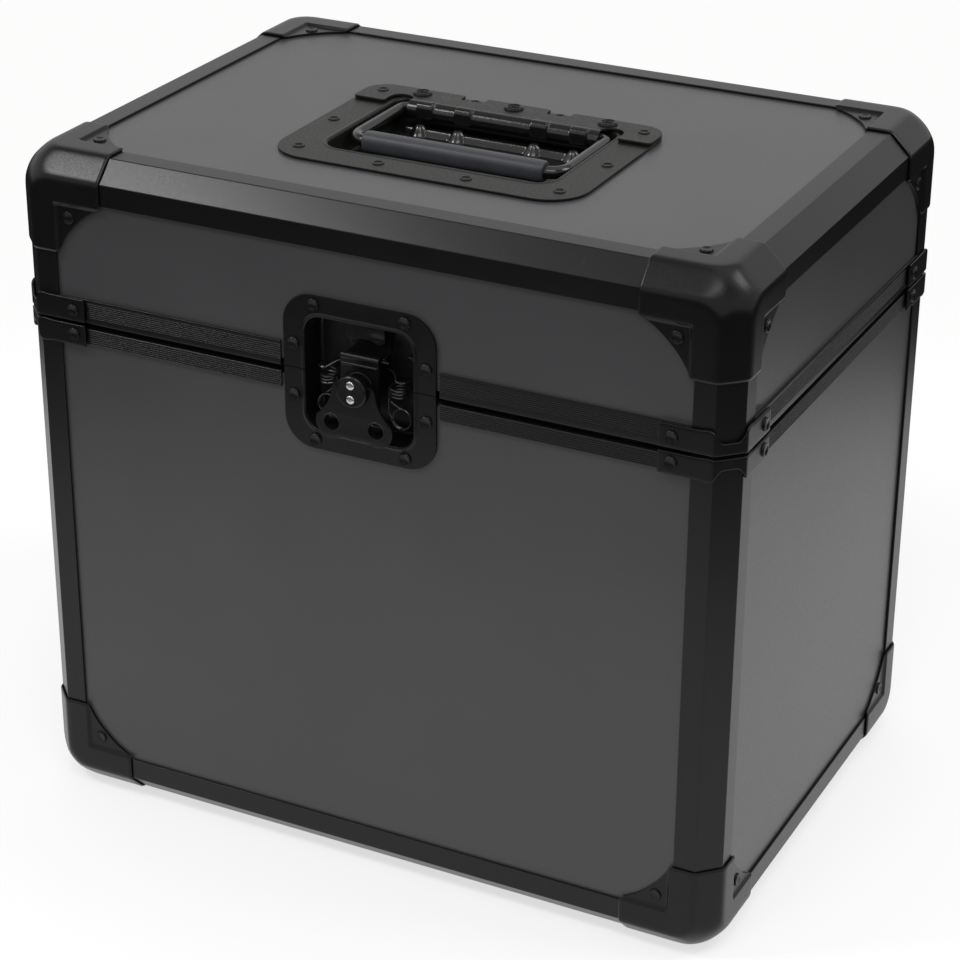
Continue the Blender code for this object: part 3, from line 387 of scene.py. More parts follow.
def add_piece(name, shape, material, body, replaced=(), wall=0, rim=0):
    """One piece, with its doubles merged. An open sheet gets its wall inwards and a rounded rim. A shape
    without a wall is closed, and its normals are set outwards."""
    points, faces = shape
    mesh = bpy.data.meshes.new(name)
    mesh.from_pydata((points * MM).tolist(), [], faces)
    work = bmesh.new()
    work.from_mesh(mesh)
    bmesh.ops.remove_doubles(work, verts=work.verts, dist=merge_distance * MM)
    bmesh.ops.dissolve_degenerate(work, edges=work.edges, dist=thin_edge * MM)
    if not wall:
        bmesh.ops.recalc_face_normals(work, faces=work.faces)
    work.to_mesh(mesh)
    work.free()
    mesh.shade_smooth()
    mesh.set_sharp_from_angle(angle=math.radians(crease_angle))
    mesh.materials.append(material)
    piece = add_object(name, mesh)
    if wall:
        sheet = piece.modifiers.new("wall", "SOLIDIFY")
        sheet.thickness = wall * MM
        sheet.offset = -1
        sheet.use_even_offset = True
    if rim:
        edge = piece.modifiers.new("rim", "BEVEL")
        edge.width = rim * MM
        edge.segments = 2
        edge.limit_method = "ANGLE"
        edge.angle_limit = math.radians(rim_angle)
    weighted = piece.modifiers.new("normals", "WEIGHTED_NORMAL")
    weighted.keep_sharp = True
    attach(piece, body)
    if replaced:
        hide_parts(*replaced)


def rivet(radius=3.5, height=1.3):
    """A rivet turned from shares of its radius and height: a raised rim and a dished middle."""
    shares = ((1, -0.3), (1, 0.3), (0.95, 0.62), (0.86, 0.84), (0.76, 0.85), (0.6, 0.72), (0.4, 0.58),
              (0.2, 0.51), (0.02, 0.5))
    return turned([(radius * r, height * h) for r, h in shares], 20)


# Edge extrusions

def edge_section():
    """The outline in insets from the edge: two legs, the slanted wall between them and the inner angle, and
    the triangular hollow behind the slant."""
    half = [(edge_slant, 0), (edge_reach, 0), (edge_reach, edge_wall), (panel_groove, edge_wall),
            (panel_groove, edge_inner_face), (edge_inner_reach, edge_inner_face),
            (edge_inner_reach, edge_back)]
    radii = [1.1, 0.35, 0.2, 0.2, 0.2, 0.3, 0.3]
    outline = half + [(edge_back, edge_back)] + [(y, x) for x, y in half[::-1]]
    far = panel_groove - edge_wall
    near = edge_slant + math.sqrt(2) * edge_wall - far
    hollow = rounded_corners([(far, near), (far, far), (near, far)], 0.3)
    return rounded_corners(outline, radii + [0.3] + radii[::-1]), hollow


def add_profile(body, name, shape, *place):
    """An extruded length that stands for the node of its name."""
    node = f"{body}_{name}"
    add_piece(node + "_profile", placed(shape, *place), anodised, body, [node])


def make_edges():
    outline, hollow = edge_section()
    half_gap = upright_split_gap / 2
    long_bar = bar(outline, edge_end - half_width, half_width - edge_end, hollow)
    short_bar = bar(outline, edge_end - half_depth, half_depth - edge_end, hollow)
    for body, low, high in (("base", foot + edge_end, upright_split - half_gap),
                            ("lid", upright_split + half_gap, top - edge_end)):
        upright = bar(outline, low, high, hollow)
        for x in SIDES:
            for y in SIDES:
                add_profile(body, f"{NAMES_Y[y]}_{NAMES_X[x]}_upright", upright,
                            (x * half_width, middle_y + y * half_depth, 0), (-x, 0, 0), (0, -y, 0))
        level, inwards = (foot, 1) if body == "base" else (top, -1)
        for side in SIDES:
            add_profile(body, NAMES_Y[side] + "_rail", long_bar, (0, middle_y + side * half_depth, level),
                        (0, -side, 0), (0, 0, inwards), X)
            add_profile(body, NAMES_X[side] + "_rail", short_bar, (side * half_width, middle_y, level),
                        (-side, 0, 0), (0, 0, inwards), Y)


# Valances, with their roundings at the seam, at the far edge, on the ribs and elsewhere

rib_pitch = 1.08
rib_depth = 0.4
lid_valance_level, lid_valance_height, lid_lip, lid_ribs = 281.8, 13.1, 3.5, 8
base_valance_level, base_valance_height, base_lip, base_ribs = 278.6, 8.5, 0.9, 7
seam_round, far_round, rib_round, hidden_round = 0.6, 0.3, 0.24, 0.12


def ribs(count, start):
    """The ribbed face of a valance: it lies in for half a pitch and out for the other half."""
    low = start + np.arange(count) * rib_pitch
    zero, deep, half = np.zeros_like(low), np.full_like(low, rib_depth), rib_pitch / 2
    points = np.stack([np.column_stack([deep, low]), np.column_stack([deep, low + half]),
                       np.column_stack([zero, low + half]), np.column_stack([zero, low + rib_pitch])], 1)
    return [(0, start), *points.reshape(-1, 2)[:-1].tolist()]


def lid_valance():
    """In depths from the face and heights above the seam: a smooth lip, the ribs, a groove for the panel and
    a tongue that reaches down."""
    height = lid_valance_height
    return [(0, 0), *ribs(lid_ribs, lid_lip), (0, height), (1.2, height), (1.2, 1.2), (10.8, 1.2), (10.8, 8),
            (12, 8), (12, 0.3), (7, 0.3), (7, -3.6), (5, -3.6), (5, 0)]


def base_valance():
    """The same turned downwards, with a groove for the tongue."""
    height = base_valance_height
    return [(x, -y) for x, y in [
        (0, 0), *ribs(base_ribs, base_lip), (0, height), (1.2, height), (1.2, 1.3), (10.8, 1.3), (10.8, 8),
        (12, 8), (12, 0), (8.5, 0), (8.5, 0.9), (3.5, 0.9), (3.5, 0)]]


def clamp(height, top_dip, bottom_dip):
    """A strap over an upright, in insets from the edge and heights from its lower edge. Its plan follows leg,
    slant and leg. Its height narrows by a smooth step over the slant and swells beside it by a bell curve."""
    corner = edge_slant - clamp_proud * (math.sqrt(2) - 1)
    to_bend = clamp_bend * math.tan(math.pi / 8)
    ends = np.array([(clamp_reach, -clamp_proud), (corner + to_bend, -clamp_proud)])
    leg = ends[0] + (ends[1] - ends[0]) * np.linspace(0, 1, 27)[:, None]
    turn = circle_part((corner + to_bend, -clamp_proud + clamp_bend), clamp_bend, 270, 225, 5)
    half = np.concatenate([leg, turn[1:]])
    slant = half[-1] + (half[-1][::-1] - half[-1]) * np.linspace(0, 1, 31)[1:-1, None]
    path = np.concatenate([half, slant, half[::-1, ::-1]])
    run = np.concatenate([[0], np.cumsum(np.linalg.norm(np.diff(path, axis=0), axis=1))])
    from_middle = np.abs(run - run[-1] / 2)
    slant_half = (corner + clamp_proud) / math.sqrt(2)
    narrow = smooth_step((slant_half + 1.8 - from_middle) / 6.5)
    swell = np.exp(-((from_middle - slant_half - 3.5) / 2.6) ** 2)
    high = height - top_dip * narrow + 0.5 * swell
    low = bottom_dip * narrow - (0.7 * swell if bottom_dip else 0)
    level = low + (high - low) * np.linspace(0, 1, 7)[:, None]
    rings = np.stack(np.broadcast_arrays(path[:, 0], path[:, 1], level), -1)
    return loft(rings, around=False, flip=True)


def make_valances():
    front_run, side_run = half_width - edge_end, half_depth - edge_end
    rivets = {"base": [], "lid": []}
    for body, level, section, strap_level, strap, rivet_level in (
            ("base", base_valance_level, base_valance(), 269.1, (11.5, 0, 5.6), 6.2),
            ("lid", lid_valance_level, lid_valance(), 282.5, (12.3, 6.3, 0), 5.9)):
        far = max(abs(y) for x, y in section if x == 0)
        on_face = {0: seam_round, far: far_round}
        radii = [hidden_round if x else on_face.get(abs(y), rib_round) for x, y in section]
        outline = rounded_corners(section, radii)
        heads = [placed(rivet(), (clamp_rivet_inset, -clamp_proud, rivet_level), X, Z, (0, -1, 0)),
                 placed(rivet(), (-clamp_proud, clamp_rivet_inset, rivet_level), Z, Y, (-1, 0, 0))]
        for side in SIDES:
            add_profile(body, f"front_{NAMES_X[side]}_valance", bar(outline, latch_end, front_run),
                        (0, front_plane, level), Y, Z, (side, 0, 0))
            add_profile(body, NAMES_X[side] + "_valance", bar(outline, -side_run, side_run),
                        (side * half_width, middle_y, level), (-side, 0, 0), Z, Y)
            for end in SIDES:
                corner = (side * half_width, middle_y + end * half_depth, strap_level)
                place = (corner, (-side, 0, 0), (0, -end, 0))
                add_piece(f"{body}_{NAMES_Y[end]}_{NAMES_X[side]}_clamp", placed(clamp(*strap), *place),
                          coated, body, wall=clamp_sheet, rim=0.5)
                rivets[body] += [placed(head, *place) for head in heads]
        add_profile(body, "back_valance", bar(outline, -front_run, front_run), (0, back_plane, level),
                    (0, -1, 0), Z, X)
    for body, heads in rivets.items():
        add_piece(body + "_clamp_rivets", together(heads), coated, body)


# Ball corners

def corner_depth(point):
    """How far a point lies outside the corner's form: the soft maximum of its distances outside the three
    planes, the three slants and the ball."""
    root = math.sqrt(2)
    slant = edge_slant - corner_proud * root
    ball = math.hypot(ball_centre + corner_proud, ball_centre - edge_slant + corner_proud * (root - 1))
    x, y, z = point[..., 0], point[..., 1], point[..., 2]
    inwards = np.minimum(point - ball_centre, 0)
    terms = np.stack([-corner_proud - x, -corner_proud - y, -corner_proud - z, (slant - x - y) / root,
                      (slant - y - z) / root, (slant - z - x) / root, np.linalg.norm(inwards, axis=-1) - ball])
    soft = 0.45
    peak = terms.max(0)
    return peak + soft * np.log(np.exp((terms - peak) / soft).sum(0))


def corner_face():
    """One face of the corner with half of each slant beside it, in insets: a grid in two directions, each of
    which runs from the slant's middle line to the flat. Each point slides along the line to the ball's middle
    line until its depth is zero, or at an arm's free end that of the curl, which grows with the square of the
    way into it. The web sinks by a smooth step past the arms."""
    near = edge_slant - corner_proud * (math.sqrt(2) - 1)
    middle = (near - corner_proud) / 2
    length = corner_arm - arm_side
    share = np.linspace(0, 1, 11)
    along = np.concatenate([middle + (near - middle) * share, np.linspace(near, arm_side, 9)[1:]])
    depth = np.concatenate([middle - (middle + corner_proud) * share, np.full(8, -corner_proud)])
    past = np.concatenate([np.linspace(0, 1, 19)[1:-1] ** 1.5, np.linspace(1 - corner_curl / length, 1, 5)])
    far = np.concatenate([along, arm_side + length * past])
    far_depth = np.concatenate([depth, np.full(len(past), -corner_proud)])
    free = np.array([(arm_side, corner_arm), (24.3, 50.5), (25.0, 49.2), (26.2, 46.4), (28.6, 42.4),
                     (31.4, 38.8), (35.0, 35.0)])
    edge = np.concatenate([free, free[-2::-1, ::-1]])
    limit = np.interp(far, edge[:, 0], edge[:, 1])

    def grid(s, s_depth, t, t_depth):
        point = np.stack([s, t, np.maximum(s_depth, t_depth)], -1)
        level = np.full(s.shape, ball_centre)
        centre = np.stack([np.maximum(s, ball_centre), np.maximum(t, ball_centre), level], -1)
        curl = curl_depth * np.clip(1 - (corner_arm - np.maximum(s, t)) / corner_curl, 0, 1) ** 2
        outside, inside = np.zeros(s.shape), np.ones(s.shape)
        for _ in range(24):
            half = (outside + inside) / 2
            deep = corner_depth(point + (centre - point) * half[..., None]) < -curl
            outside, inside = np.where(deep, outside, half), np.where(deep, half, inside)
        found = point + (centre - point) * inside[..., None]
        in_web = smooth_step((s - arm_side) / web_step) * smooth_step((t - arm_side) / web_step)
        found[..., 2] += web_drop * in_web
        return found

    s, t = np.meshgrid(far, along, indexing="ij")
    s_depth, t_depth = np.meshgrid(far_depth, depth, indexing="ij")
    first_arm = loft(grid(s, s_depth, t, t_depth), around=False)
    past_all = np.concatenate([[0], past])
    t, s = np.meshgrid(arm_side + length * past_all, along, indexing="ij")
    second = grid(s, np.broadcast_to(depth, s.shape), t, np.full(s.shape, -corner_proud))
    second_arm = loft(second, around=False, flip=True)
    t = arm_side + (limit[len(along) - 1:] - arm_side)[:, None] * past_all[None, :]
    s = np.broadcast_to(np.concatenate([[arm_side], far[len(along):]])[:, None], t.shape)
    flat = np.full(t.shape, -corner_proud)
    web = loft(grid(s, flat, t, flat), around=False)
    return together([first_arm, second_arm, web])


def make_corners():
    face = corner_face()
    turns = ((X, Y, Z), (Y, Z, X), (Z, X, Y))
    pattern = together([placed(face, (0, 0, 0), *turn) for turn in turns])
    head = placed(rivet(3.4, 1.2), (corner_rivet_inset, corner_rivet_inset, 0), Y, X, (0, 0, -1))
    heads = together([placed(head, (0, 0, 0), *turn) for turn in turns])
    for body, level, up in (("base", foot, 1), ("lid", top, -1)):
        rivets = []
        for x in SIDES:
            for y in SIDES:
                node = f"{body}_{NAMES_Y[y]}_{NAMES_X[x]}_corner"
                middle = (x * half_width, middle_y + y * half_depth, level)
                place = (middle, (-x, 0, 0), (0, -y, 0), (0, 0, up))
                add_piece(node + "_shell", placed(pattern, *place), coated, body, [node], wall=corner_sheet,
                          rim=0.55)
                rivets.append(placed(heads, *place))
        add_piece(body + "_corner_rivets", together(rivets), coated, body)


# Latch, in its own frame: X across, Y up from the seam or the dish's middle, Z out from the front plane

def at_latch(shape, level=seam):
    return placed(shape, (0, front_plane, level), X, Z, (0, -1, 0))


def half_ring(half_x, half_y, corner, split, level):
    """The lower half of a rounded rectangle, from its right end at the split line round to the left one."""
    right = np.column_stack([np.full(4, half_x), np.linspace(split, corner - half_y, 4)])
    turn = circle_part((half_x - corner, corner - half_y), corner, 0, -90, 8)[1:]
    below = np.column_stack([np.linspace(half_x - corner, 0, 5)[1:], np.full(4, -half_y)])
    quarter = np.concatenate([right, turn, below])
    both = np.concatenate([quarter, quarter[-2::-1] * (-1, 1)])
    return at_level(both, level)


def latch_half_dish(split):
    """Half of the pressed dish: rings from the flange's edge over the bead round the mouth, down the wall and
    across the floor to the split line. Each step grows the mouth on all its sides, at a level."""
    mouth_x, mouth_y, mouth_corner = 30, 30.2, 9
    steps = ((2.6, 0), (2.1, 0.2), (1.6, 0.62), (1.0, 0.8), (0.45, 0.62), (0.1, 0.1), (-0.05, -0.8),
             (-0.3, -3), (-1.1, -10.6), (-1.3, -11.7), (-1.8, -12.5), (-2.8, -13))
    rings = [half_ring(mouth_x + 12.3, mouth_y + 10.8, mouth_corner + 7, split, 0)]
    rings += [half_ring(mouth_x + grow, mouth_y + grow, mouth_corner + grow, split, level)
              for grow, level in steps]
    floor = rings[-1]
    rings += [floor * (1, 1 - share, 1) + (0, split * share, 0) for share in (0.5, 1)]
    return loft(rings, around=False, flip=True)


def make_keeper():
    """The keeper: a pressed hump that rises by a smooth step above an edge with two bell-shaped dips and has
    one shallow dent, a curled strip down its left side, and the lip that the claw pulls."""
    half, low, high, back = 12.5, 13.0, 27.6, -13.2
    x, y = np.meshgrid(np.linspace(-half, half, 73), np.linspace(low, high, 53), indexing="ij")
    edge = 17.6 - 1.7 * np.exp(-((x - 7.6) / 2.4) ** 2) - 1.1 * np.exp(-((x + 6.4) / 2.0) ** 2)
    rise = smooth_step((half - np.abs(x)) / 1.2) * smooth_step((high - y) / 1.2)
    level = back + (1.6 + 5.6 * smooth_step((y - edge) / 1.6)) * rise
    level -= 0.45 * np.exp(-(((x - 7.2) / 3.4) ** 2 + ((y - 20.6) / 1.8) ** 2))
    hump = loft(np.stack([x, y, level], -1), around=False, flip=True)
    add_piece("keeper_hump", at_latch(hump), coated, "lid", wall=1.0, rim=0.15)
    turn = np.linspace(0, 1, 33)
    curl = np.column_stack([-7.2 + 1.1 * np.sin(2 * math.pi * turn), 26.0 - 9.6 * turn, np.full(33, -6.7)])
    add_piece("keeper_curl", at_latch(tube(curl, 0.75)), coated, "lid")
    lip = rounded_corners([(7.5, -13.4), (10.5, -13.4), (10.5, -6.4), (7.5, -6.4)], (0.2, 0.2, 0.8, 0.8))
    add_piece("keeper_lip", at_latch(lying(bar(lip, -10.75, 10.75))), coated, "lid")


def make_wing():
    """A butterfly with a neck, two shoulders and two lobes, and the round disc that turns with it."""
    lobe = circle_part((12.8, -19.6), 8.7, 26, -104, 14)
    shoulder = np.array([(8.2, 2.7), (9.6, 2.6), (10.8, 2.1), (11.6, 1.1), (12.1, -0.4), (12.5, -2.8),
                         (13.3, -5.8), (14.9, -9.2), (17.0, -12.2), (19.0, -14.6)])
    waist = np.array([(8.8, -27.4), (6.0, -26.6), (3.2, -26.2)])
    right = np.concatenate([circle_part((0, 0), 7.6, 88, 30, 7), shoulder, lobe, waist])
    outline = np.concatenate([right, [(0, -26.1)], right[::-1] * (-1, 1)])
    holes = [circle_part((side * wing_hole[0], wing_hole[1]), 4.3, 0, 345, 23) for side in SIDES]
    pins = [circle_part((0, side * pin_spread), 1.7, 0, 337.5, 15) for side in SIDES]

    def at_spindle(shape):
        return at_latch(placed(shape, (0, spindle_y, 0)))

    sheet = plate([outline, *holes, *pins], wing_back, wing_face, 0.42)
    add_piece("wing_plate", at_spindle(sheet), coated, "wing", ["latch_wing"])
    rim = [(5.0, -0.1), (4.9, 0.14), (4.6, 0.3), (4.2, 0.2), (3.95, -0.4), (3.9, -1.5), (4.6, -1.55)]
    rims = [placed(turned(rim, 36), (side * wing_hole[0], wing_hole[1], wing_face)) for side in SIDES]
    open_rims = [(points, faces[:-2]) for points, faces in rims]
    add_piece("wing_hole_rims", at_spindle(together(open_rims)), coated, "wing")
    disc = turned([(8.1, 6.3), (8.5, 6.6), (8.5, 8.0), (8.35, 8.35), (7.75, 8.95), (7.4, 9.1), (6.8, 9.0),
                   (0.05, 9.0)], 64)
    shaft = turned([(4, -11.6), (4, 4.1), (0.05, 4.1)], 32)
    collar = turned([(3.8, -0.45), (7.4, -0.45), (7.4, -0.1), (7.1, 0.15), (6.6, 0.2), (6.2, 0), (3.8, 0)], 40)
    pin = turned([(1.4, 3.9), (1.4, 6.5), (0.05, 6.5)], 16)
    pins = [placed(pin, (0, side * pin_spread, 0)) for side in SIDES]
    spindle = together([disc, shaft, collar, *pins])
    add_piece("spindle_disc", at_spindle(spindle), coated, "wing", ["latch_spindle"])
    end = turned([(2.25, 8.7), (2.25, 9.1), (2.1, 9.35), (1.6, 9.55), (0.8, 9.62), (0.05, 9.6)], 20)
    ends = [placed(end, (0, side * pin_spread, 0)) for side in SIDES]
    add_piece("spindle_rivets", at_spindle(together(ends)), nickel, "wing")


def make_claw():
    """The claw: a slotted plate with a rolled bar at its top, and a fold under, a nose behind and a pin's end
    beside the bar."""
    outline = rounded_corners([(-10.5, -19.5), (10.5, -19.5), (10.5, 10.6), (-10.5, 10.6)], 0.8)
    slot = rounded_corners([(-4.3, -16.1), (4.3, -16.1), (4.3, 0.8), (-4.3, 0.8)], 4.25, 8)
    roll = circle_part((10.6, -2.2), 1.95, -90, 250, 22)
    fold = circle_part((7.0, -0.95), 1.0, 0, 340, 17)
    nose = rounded_corners([(9.2, -5.8), (11.2, -5.8), (11.2, -2.4), (9.2, -2.4)], 0.3, 2)
    pin = circle_part((10.2, -3.4), 0.7, 0, 330, 11)
    bars = ((roll, -10.4, 10.4), (fold, -9.8, 9.8), (nose, -10.4, 10.4), (pin, 9.8, 15.0))
    claw = [plate([outline, slot], -2.6, -0.6, 0.2)] + [lying(bar(*lengths)) for lengths in bars]
    add_piece("claw_pressing", at_latch(together(claw)), coated, "claw", ["latch_claw"])


def make_claw_springs():
    """On each side one wire: a straight leg, a ring, a slanting run, a close coil and a hook near the claw."""
    for side in SIDES:
        leg = np.array([(-5.6, -3.0, 1.2), (-5.9, -9.0, 1.2), (-6.0, -14.5, 1.2), (-5.4, -17.5, 1.0)])
        ring = circle_part((0.9, -19.0), 5.2, 175, 770, 60)
        ring = np.column_stack([ring, np.linspace(1.0, -0.9, len(ring))])
        slant = np.array([(2.4, -13.4, 0.4), (0.0, -11.7, 2.4), (-2.6, -9.6, 3.6), (-4.2, -8.2, 3.0)])
        turn = np.linspace(math.pi, 7.5 * math.pi, 118)
        rise = -8.1 + 1.75 * turn / (2 * math.pi)
        coil = np.column_stack([4.5 * np.cos(turn) - 0.6, rise, 4.5 * np.sin(turn)])
        hook = np.array([(1.6, -0.6, -4.0), (3.6, 0.8, -2.6), (4.8, 1.6, 0.0), (4.0, 1.9, 2.6),
                         (2.0, 1.8, 3.8), (-0.5, 2.2, 3.4), (-2.4, 3.4, 0.6), (-4.6, 4.6, -1.6),
                         (-8.0, 5.4, -2.2)])
        path = np.concatenate([leg, ring, slant, coil[3:], hook]) * (side, 1, 1) + (side * 20, 0, -5.4)
        node = f"latch_{NAMES_X[side]}_spring"
        add_piece(node + "_wire", at_latch(tube(path, 0.5, 8)), wire, "base", [node])


def make_latch():
    lower = latch_half_dish(latch_split - latch_half_gap)
    upper = placed(latch_half_dish(-latch_split - latch_half_gap), y_axis=(0, -1, 0))
    for name, shape, body in (("latch_dish", lower, "base"), ("latch_keeper_dish", upper, "lid")):
        add_piece(name + "_pressing", at_latch(shape, latch_middle), coated, body, [name], wall=1.2, rim=0.5)
    for body, side in (("base", -1), ("lid", 1)):
        heads = [placed(rivet(), (x * across, side * up, 0)) for x in SIDES
                 for across, up in ((25.2, 36.1), (36.9, 13.8))]
        add_piece(body + "_latch_rivets", at_latch(together(heads), latch_middle), coated, body)
    seat = turned([(7.5, -13.4), (7.5, -10.1), (7.2, -9.6), (6.8, -9.5), (4.3, -9.5), (4.3, -12)], 32)
    bump = placed(turned([(2.4, -13.3), (2.4, -12.4), (2.0, -11.9), (1.1, -11.6), (0.05, -11.5)]),
                  (23.0, 10.5, 0), (1.3, 0, 0), (0, 0.8, 0))
    on_floor = together([placed(seat, (0, spindle_y, 0)), bump])
    add_piece("spindle_seat", at_latch(on_floor), coated, "base")
    make_keeper()
    make_wing()
    make_claw()
    make_claw_springs()


# Handle, in the same frame as its sizes

def at_handle(shape):
    return placed(shape, (0, middle_y, 0))


def full_ring(half_x, low_y, high_y, low_corner, high_corner, level):
    """A rounded rectangle with one radius at its front corners and one at its back ones."""
    turns = [circle_part((half_x - low_corner, low_y + low_corner), low_corner, -90, 0, 8),
             circle_part((half_x - high_corner, high_y - high_corner), high_corner, 0, 90, 8)]
    right = np.concatenate(turns)
    return at_level(np.concatenate([right, right[::-1] * (-1, 1)]), level)


def make_handle_dish():
    """Rings from the flange's edge over the bead round the mouth and down the wall to the floor, and rivets
    with a low ring round a flat middle."""
    def mouth(grow, level):
        return full_ring(64 + grow, -62.5 - grow, 27 + grow, 11 + grow, 11 + grow, level)

    depth = handle_floor - top
    steps = ((3.2, 0), (2.6, 0.05), (2.0, 0.2), (1.5, 0.26), (1.0, 0.18), (0.5, -0.08), (0.15, -0.5),
             (0, -1.1), (-0.2, -2.6), (-1.2, depth + 2.2), (-1.5, depth + 1.2), (-2.1, depth + 0.45),
             (-3.2, depth))
    rings = [full_ring(86, -83, 38, 22, 14, top)] + [mouth(grow, top + level) for grow, level in steps]
    add_piece("handle_dish_pressing", at_handle(loft(rings, caps=("last",))), dipped, "lid", ["handle_dish"],
              wall=1.2, rim=0.25)
    flat_head = turned([(3.1, -0.3), (3.1, 0.25), (2.9, 0.5), (2.6, 0.56), (2.2, 0.46), (1.9, 0.14),
                        (1.6, 0.05), (0.05, 0.05)])
    on_flange = ((73, -68), (24.5, -73), (78, -23), (24.8, 34.4))
    spots = [(side * x, y, top) for side in SIDES for x, y in on_flange]
    spots += [(side * 76, 27, cover_top) for side in SIDES]
    heads = together([placed(flat_head, spot) for spot in spots])
    add_piece("handle_rivets", at_handle(heads), dipped, "lid")


def make_handle_ridge():
    """The ridge in front of the bail's axle, raised by smooth steps, with a round bump at each band. The
    higher of the two shows, blended by the logarithm of their exponentials."""
    x, y = np.meshgrid(np.linspace(-56, 56, 225), np.linspace(2.0, 17.5, 32), indexing="ij")
    ridge = 3.6 * smooth_step((3.2 - np.abs(y - ridge_y)) / 2.2) * smooth_step((55 - np.abs(x)) / 2)
    away = np.hypot(x[..., None] - band_places, y[..., None] - ridge_y)
    bump = (5.6 * smooth_step((6.2 - away) / 4.6)).max(-1)
    level = handle_floor - 0.25 + np.log(np.exp(3 * ridge) + np.exp(3 * bump) - 1) / 3
    shape = loft(np.stack([x, y, level], -1), around=False, flip=True)
    add_piece("handle_ridge", at_handle(shape), rubbed, "lid", wall=0.4)


def make_handle_cover():
    """A notched plate behind the bail, a barrel rolled from its front edge, which is squarer and wider at each
    band, and three eyelets."""
    right = [(54.5, 19.2), (54.5, 25.5), (67.5, 25.5), (67.5, 12), (86, 12), (86, 38), (31.5, 38),
             (31.5, 30.9), (18.5, 30.9), (18.5, 38)]
    radii = [0.3, 6.3, 6.3, 1.2, 2.5, 13.5, 1.6, 1.6, 1.6, 1.6]
    outline = rounded_corners(right + [(-x, y) for x, y in right[::-1]], radii + radii[::-1], 6)
    sheet = plate([outline], cover_top - 1.5, cover_top, 0.35)
    add_piece("handle_cover_plate", at_handle(sheet), dipped, "lid", ["handle_cover"])
    x, degrees = np.meshgrid(np.linspace(-55.1, 55.1, 331), np.linspace(86, 222, 35), indexing="ij")
    angle = np.radians(degrees)
    band = smooth_step((5.3 - np.abs(x[..., None] - band_places)) / 1.1).max(-1)
    squared = 5.55 / (np.cos(angle) ** 4 + np.sin(angle) ** 4) ** 0.25
    front = smooth_step((degrees - 92) / 18) * smooth_step((216 - degrees) / 12)
    radius = 5.1 + (squared - 5.1 + 0.45) * band * front
    barrel = np.stack([x, bail_axis[0] + radius * np.cos(angle), bail_axis[1] + radius * np.sin(angle)], -1)
    add_piece("handle_cover_barrel", at_handle(loft(barrel, around=False)), rubbed, "lid", wall=1.4, rim=0.3)
    eyelet = turned([(5.3, -0.3), (5.3, 0.45), (5.0, 0.95), (4.4, 1.3), (3.8, 1.35), (3.2, 1.05), (2.75, 0.5),
                     (2.5, 0.0), (2.3, -0.3), (0.05, -0.35)], 28)
    eyelets = together([placed(eyelet, (x, 30.5, cover_top)) for x in (-54, 0, 54)])
    add_piece("cover_eyelets", at_handle(eyelets), dipped, "lid")


def make_bail():
    """The bail: a rod from one pin round its leg, along the front and back to the other. Its sleeve: a squared
    section, a superellipse, with a chamfer at each end. Its spring: a helix round the axis."""
    y, z = bail_axis
    front_y = y - bail_reach
    right = np.concatenate([
        [(38, y), (50, y)], circle_part((55, y - 4.6), 4.6, 90, 0, 8), [(59.6, y - 20), (59.6, y - 35)],
        circle_part((50.6, front_y + 9), 9, 0, -90, 12), [(30, front_y), (10, front_y)]])
    path = at_level(np.concatenate([right, right[::-1] * (-1, 1)]), z)
    add_piece("bail_rod", at_handle(tube(path, bail_radius, 20)), rubbed, "handle", ["handle_bail"])
    ring = unit_circle(48)
    section = ring * (np.abs(ring) ** 2.7).sum(1)[:, None] ** (-1 / 2.7)
    half = [(47, 5.5), (49.8, 5.4), (50.6, 5.1), (51, 4.7), (51, 3.7)]
    along = [(-x, radius) for x, radius in half[::-1]] + half
    sleeve = loft([at_level(section * radius, x) for x, radius in along], caps=("first", "last"))
    add_piece("bail_sleeve", at_handle(lying(sleeve, (0, front_y, z))), rubber, "handle", ["handle_grip"])
    turn = np.linspace(-6 * math.pi, 6 * math.pi, 217)
    coil = np.column_stack([turn / (2 * math.pi) * 4, y + 2.6 * np.cos(turn), z + 2.6 * np.sin(turn)])
    add_piece("return_spring_wire", at_handle(tube(coil, 0.6, 8)), wire, "lid", ["handle_spring"])


# Hinges on the back, in a frame with X out from the back plane and Y away from the axis

